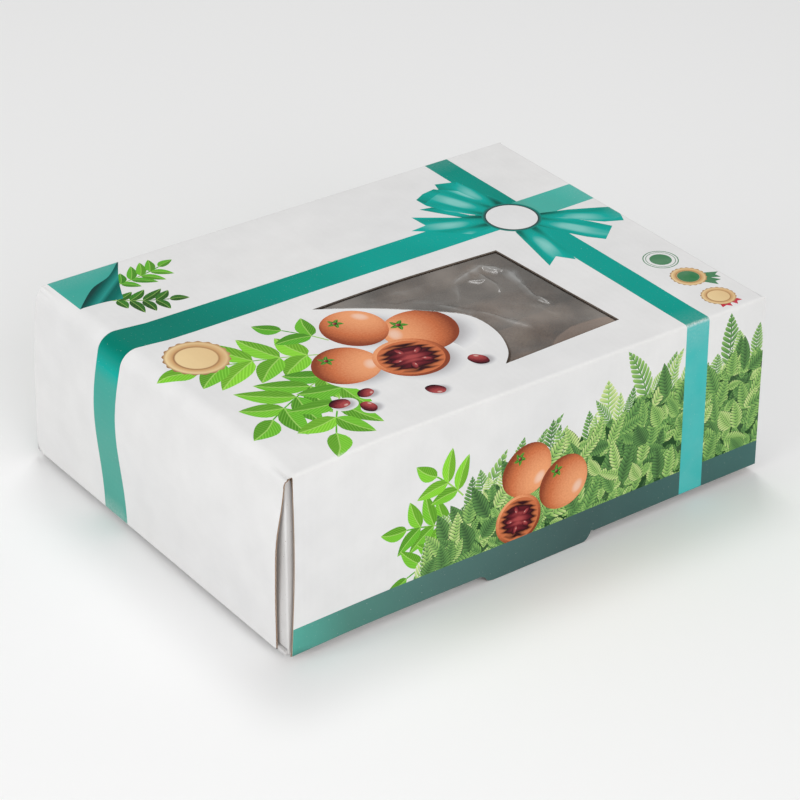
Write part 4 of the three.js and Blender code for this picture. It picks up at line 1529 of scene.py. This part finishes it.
def makeFilmMaterial():
    # Grey haze, clearer and browner where a pod lies close under it
    material, tree, shader = newMaterial("clearFilm", roughness=0.12)
    spot = spotOf(tree)
    cloud = noiseNode(tree, spot, 26.0, 3)
    near = rangeNode(tree, noiseNode(tree, spot, 17.0, 2), 0.54, 0.66)
    haze = mixColor(tree, rangeNode(tree, cloud, 0.35, 0.65), (0.13, 0.125, 0.118), (0.31, 0.28, 0.252))
    haze = mixColor(tree, times(tree, near, 0.7), haze, (0.40, 0.275, 0.20))
    # Painted highlight: along sharp ridges the film is painted whitish, standing in for the lamps' reflection
    white = rangeNode(tree, valueOf(tree, "ridgeHighlight"), 0.05, 1.2, 0.0, 0.6)
    haze = mixColor(tree, white, haze, (0.62, 0.63, 0.62))
    # Along its front the film lies on the filling and shows pale brown
    sides = partsOf(tree, spot)
    bulge = mathNode(tree, "DIVIDE", minus(tree, sides[0], film["pale"][0]), film["pale"][1])
    hump = minus(tree, 1.0, times(tree, bulge, bulge))
    line = plus(tree, times(tree, hump, film["pale"][2]), film["pale"][3])
    over = minus(tree, line, sides[1])
    haze = mixColor(tree, rangeNode(tree, over, -0.0002, 0.0008, 0.0, 0.8), haze, (0.42, 0.32, 0.26))
    tree.links.new(haze, shader.inputs["Base Color"])
    tree.links.new(rangeNode(tree, cloud, 0.3, 0.7, 0.5, 0.72), shader.inputs["Alpha"])
    crackle = addNode(tree, "ShaderNodeTexVoronoi", {"Vector": spot, "Scale": 130.0},
                      feature="DISTANCE_TO_EDGE")
    ripple = noiseNode(tree, spot, 300.0, 3, 0.6)
    height = plus(tree, crackle.outputs[0], times(tree, ripple, 0.3))
    addBump(tree, shader, height, 0.03, 0.0012)
    tree.links.new(rangeNode(tree, ripple, 0.3, 0.7, 0.15, 0.27), shader.inputs["Roughness"])
    shader.inputs["Specular IOR Level"].default_value = 0.75
    return material


# The filling: finer pods by the same rule as the plain ones, each laid where its node lies
podRule = {
    "length": 104.0, "radius": 11.4, "flatness": 0.84, "stalk": 1.7, "steps": 72, "sides": 26,
    "cadSteps": 16, "cadSides": 8, "layers": [(4, 2), (4, 2), (5, 2)],
}


def vary(pod, trait):
    wave = math.sin(pod * 12.9898 + trait * 78.233) * 43758.5453
    return wave - math.floor(wave) - 0.5


def podTraits(index, row, column):
    side = 1 if (row + column) % 2 == 0 else -1
    return {
        "length": podRule["length"] + 10 * vary(index, 1),
        "radius": podRule["radius"] + 1.6 * vary(index, 2),
        "bend": side * math.radians(46 + 34 * vary(index, 3)),
        "heading": math.radians(16 * vary(index, 4) + 180 * (index % 2)),
        "seeds": 4 + math.floor(1.4 + 2 * vary(index, 5) + 0.5),
    }


def seedWave(traits, t):
    return math.cos(2 * math.pi * (traits["seeds"] * (t - 0.08) / 0.9 - 0.5))


def podGirth(traits, t):
    neck = smooth((t - 0.03) / 0.13)
    tip = math.sqrt(max(1 - max((t - 0.86) / 0.14, 0) ** 2, 0))
    swell = 0.93 + 0.07 * seedWave(traits, t)
    return mix(podRule["stalk"], traits["radius"] * swell, neck) * max(tip, 0.08)


def podPoint(traits, t, angle, girth):
    arc = traits["length"] / traits["bend"]
    turn = traits["bend"] * (t - 0.5)
    side = girth * math.cos(angle)
    x = (arc - side) * math.sin(turn)
    y = arc - (arc - side) * math.cos(turn)
    c, s = math.cos(traits["heading"]), math.sin(traits["heading"])
    return Vector((c * x - s * y, s * x + c * y, podRule["flatness"] * girth * math.sin(angle)))


def podGrid(traits, steps, sides, seed=None):
    points = []
    for i in range(steps + 1):
        t = i / steps
        girth = podGirth(traits, t)
        for j in range(sides):
            angle = 2 * math.pi * j / sides
            point = podPoint(traits, t, angle, girth)
            if seed is not None:
                # Seeds of uneven size, a seam along each edge and a wrinkled shell
                full = podGirth({**traits, "seeds": 0}, t) * 0.965
                even = mix(girth, full, 0.45 + 0.5 * noise.noise(Vector((t * 6, seed * 3.1, 0))))
                rough = noise.noise(point * 0.13 + Vector((seed * 7.0, 0, 0))) * 0.8
                rough += noise.noise(point * 0.5 + Vector((0, seed * 5.0, 0))) * 0.25
                rough += 0.16 * noise.noise(Vector((t * 9, angle * 3.4, seed)))
                seam = 0.4 * math.exp(-(math.sin(angle) / 0.14) ** 2)
                point = podPoint(traits, t, angle, even * 0.965 + (rough - seam) * smooth(girth / 6))
            points.append(point)
    return points


def makePod(index, row, column, material):
    name = f"pod_{index + 1:02d}"
    traits = podTraits(index, row, column)
    plain = podGrid(traits, podRule["cadSteps"], podRule["cadSides"])
    low = Vector([min(p[axis] for p in plain) for axis in range(3)])
    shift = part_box(name)[0] - low * mm
    steps, sides = podRule["steps"], podRule["sides"]
    verts = [p * mm + shift for p in podGrid(traits, steps, sides, index)]
    faces = []
    for i in range(steps):
        for j in range(sides):
            a, b = i * sides + j, i * sides + (j + 1) % sides
            faces.append((a, b, b + sides, a + sides))
    faces.append(tuple(range(sides - 1, -1, -1)))
    faces.append(tuple(steps * sides + j for j in range(sides)))
    mesh = bpy.data.meshes.new(name + "_shell")
    mesh.from_pydata(verts, [], faces)
    mesh.polygons.foreach_set("use_smooth", [True] * (len(faces) - 2) + [False] * 2)
    if traits["bend"] < 0:
        mesh.flip_normals()
    waist = mesh.attributes.new("waist", "FLOAT", "POINT")
    values = []
    for i in range(steps + 1):
        t = i / steps
        values += [0.5 - 0.5 * seedWave(traits, t)] * sides
    waist.data.foreach_set("value", values)
    piece = newPiece(name + "_shell", mesh)
    mesh.materials.append(material)
    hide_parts(name)
    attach(piece, "tray")


def makePodMaterial():
    material, tree, shader = newMaterial("podShell", roughness=0.8)
    spot = spotOf(tree)
    scurf = noiseNode(tree, spot, 900.0, 5, 0.7)
    cloud = noiseNode(tree, spot, 60.0, 4, 0.6)
    level = plus(tree, times(tree, scurf, 0.5), times(tree, cloud, 0.5))
    color = rampNode(tree, level, [
        (0.34, (0.20, 0.10, 0.05)), (0.5, (0.40, 0.22, 0.115)), (0.64, (0.60, 0.40, 0.25))])
    # Painted shade: darker brown in the waists between the seeds
    waist = valueOf(tree, "waist")
    color = mixColor(tree, times(tree, waist, 0.18), color, (0.22, 0.11, 0.055))
    tree.links.new(color, shader.inputs["Base Color"])
    height = plus(tree, scurf, times(tree, noiseNode(tree, spot, 260.0, 4, 0.6), 0.8))
    addBump(tree, shader, height, 0.6, 0.0005)
    return material


def makePods():
    material = makePodMaterial()
    index = 0
    for rows, columns in podRule["layers"]:
        for row in range(rows):
            for column in range(columns):
                makePod(index, row, column, material)
                index += 1
    print("pods", index)


def finishTabs(finishes):
    for body in ("tray", "lid"):
        for end in ("front", "back"):
            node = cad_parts[f"{body}_corner_tab_{end}"]
            node.data.materials.clear()
            node.data.materials.append(finishes["inside"])


makeCamera()
makeStudio()
print("camera and studio ready")
finishes = makeInks()
finishes["inside"] = makeKraft("innerLiner", 0.5)
finishes["edge"] = makeCutEdge()
finishes["darkEdge"] = makeDarkEdge()
print("inks ready")
makeBlank(finishes)
makeTrayBoard(finishes)
makeBaseBoard(finishes)
finishTabs(finishes)
makeFilm()
makePods()
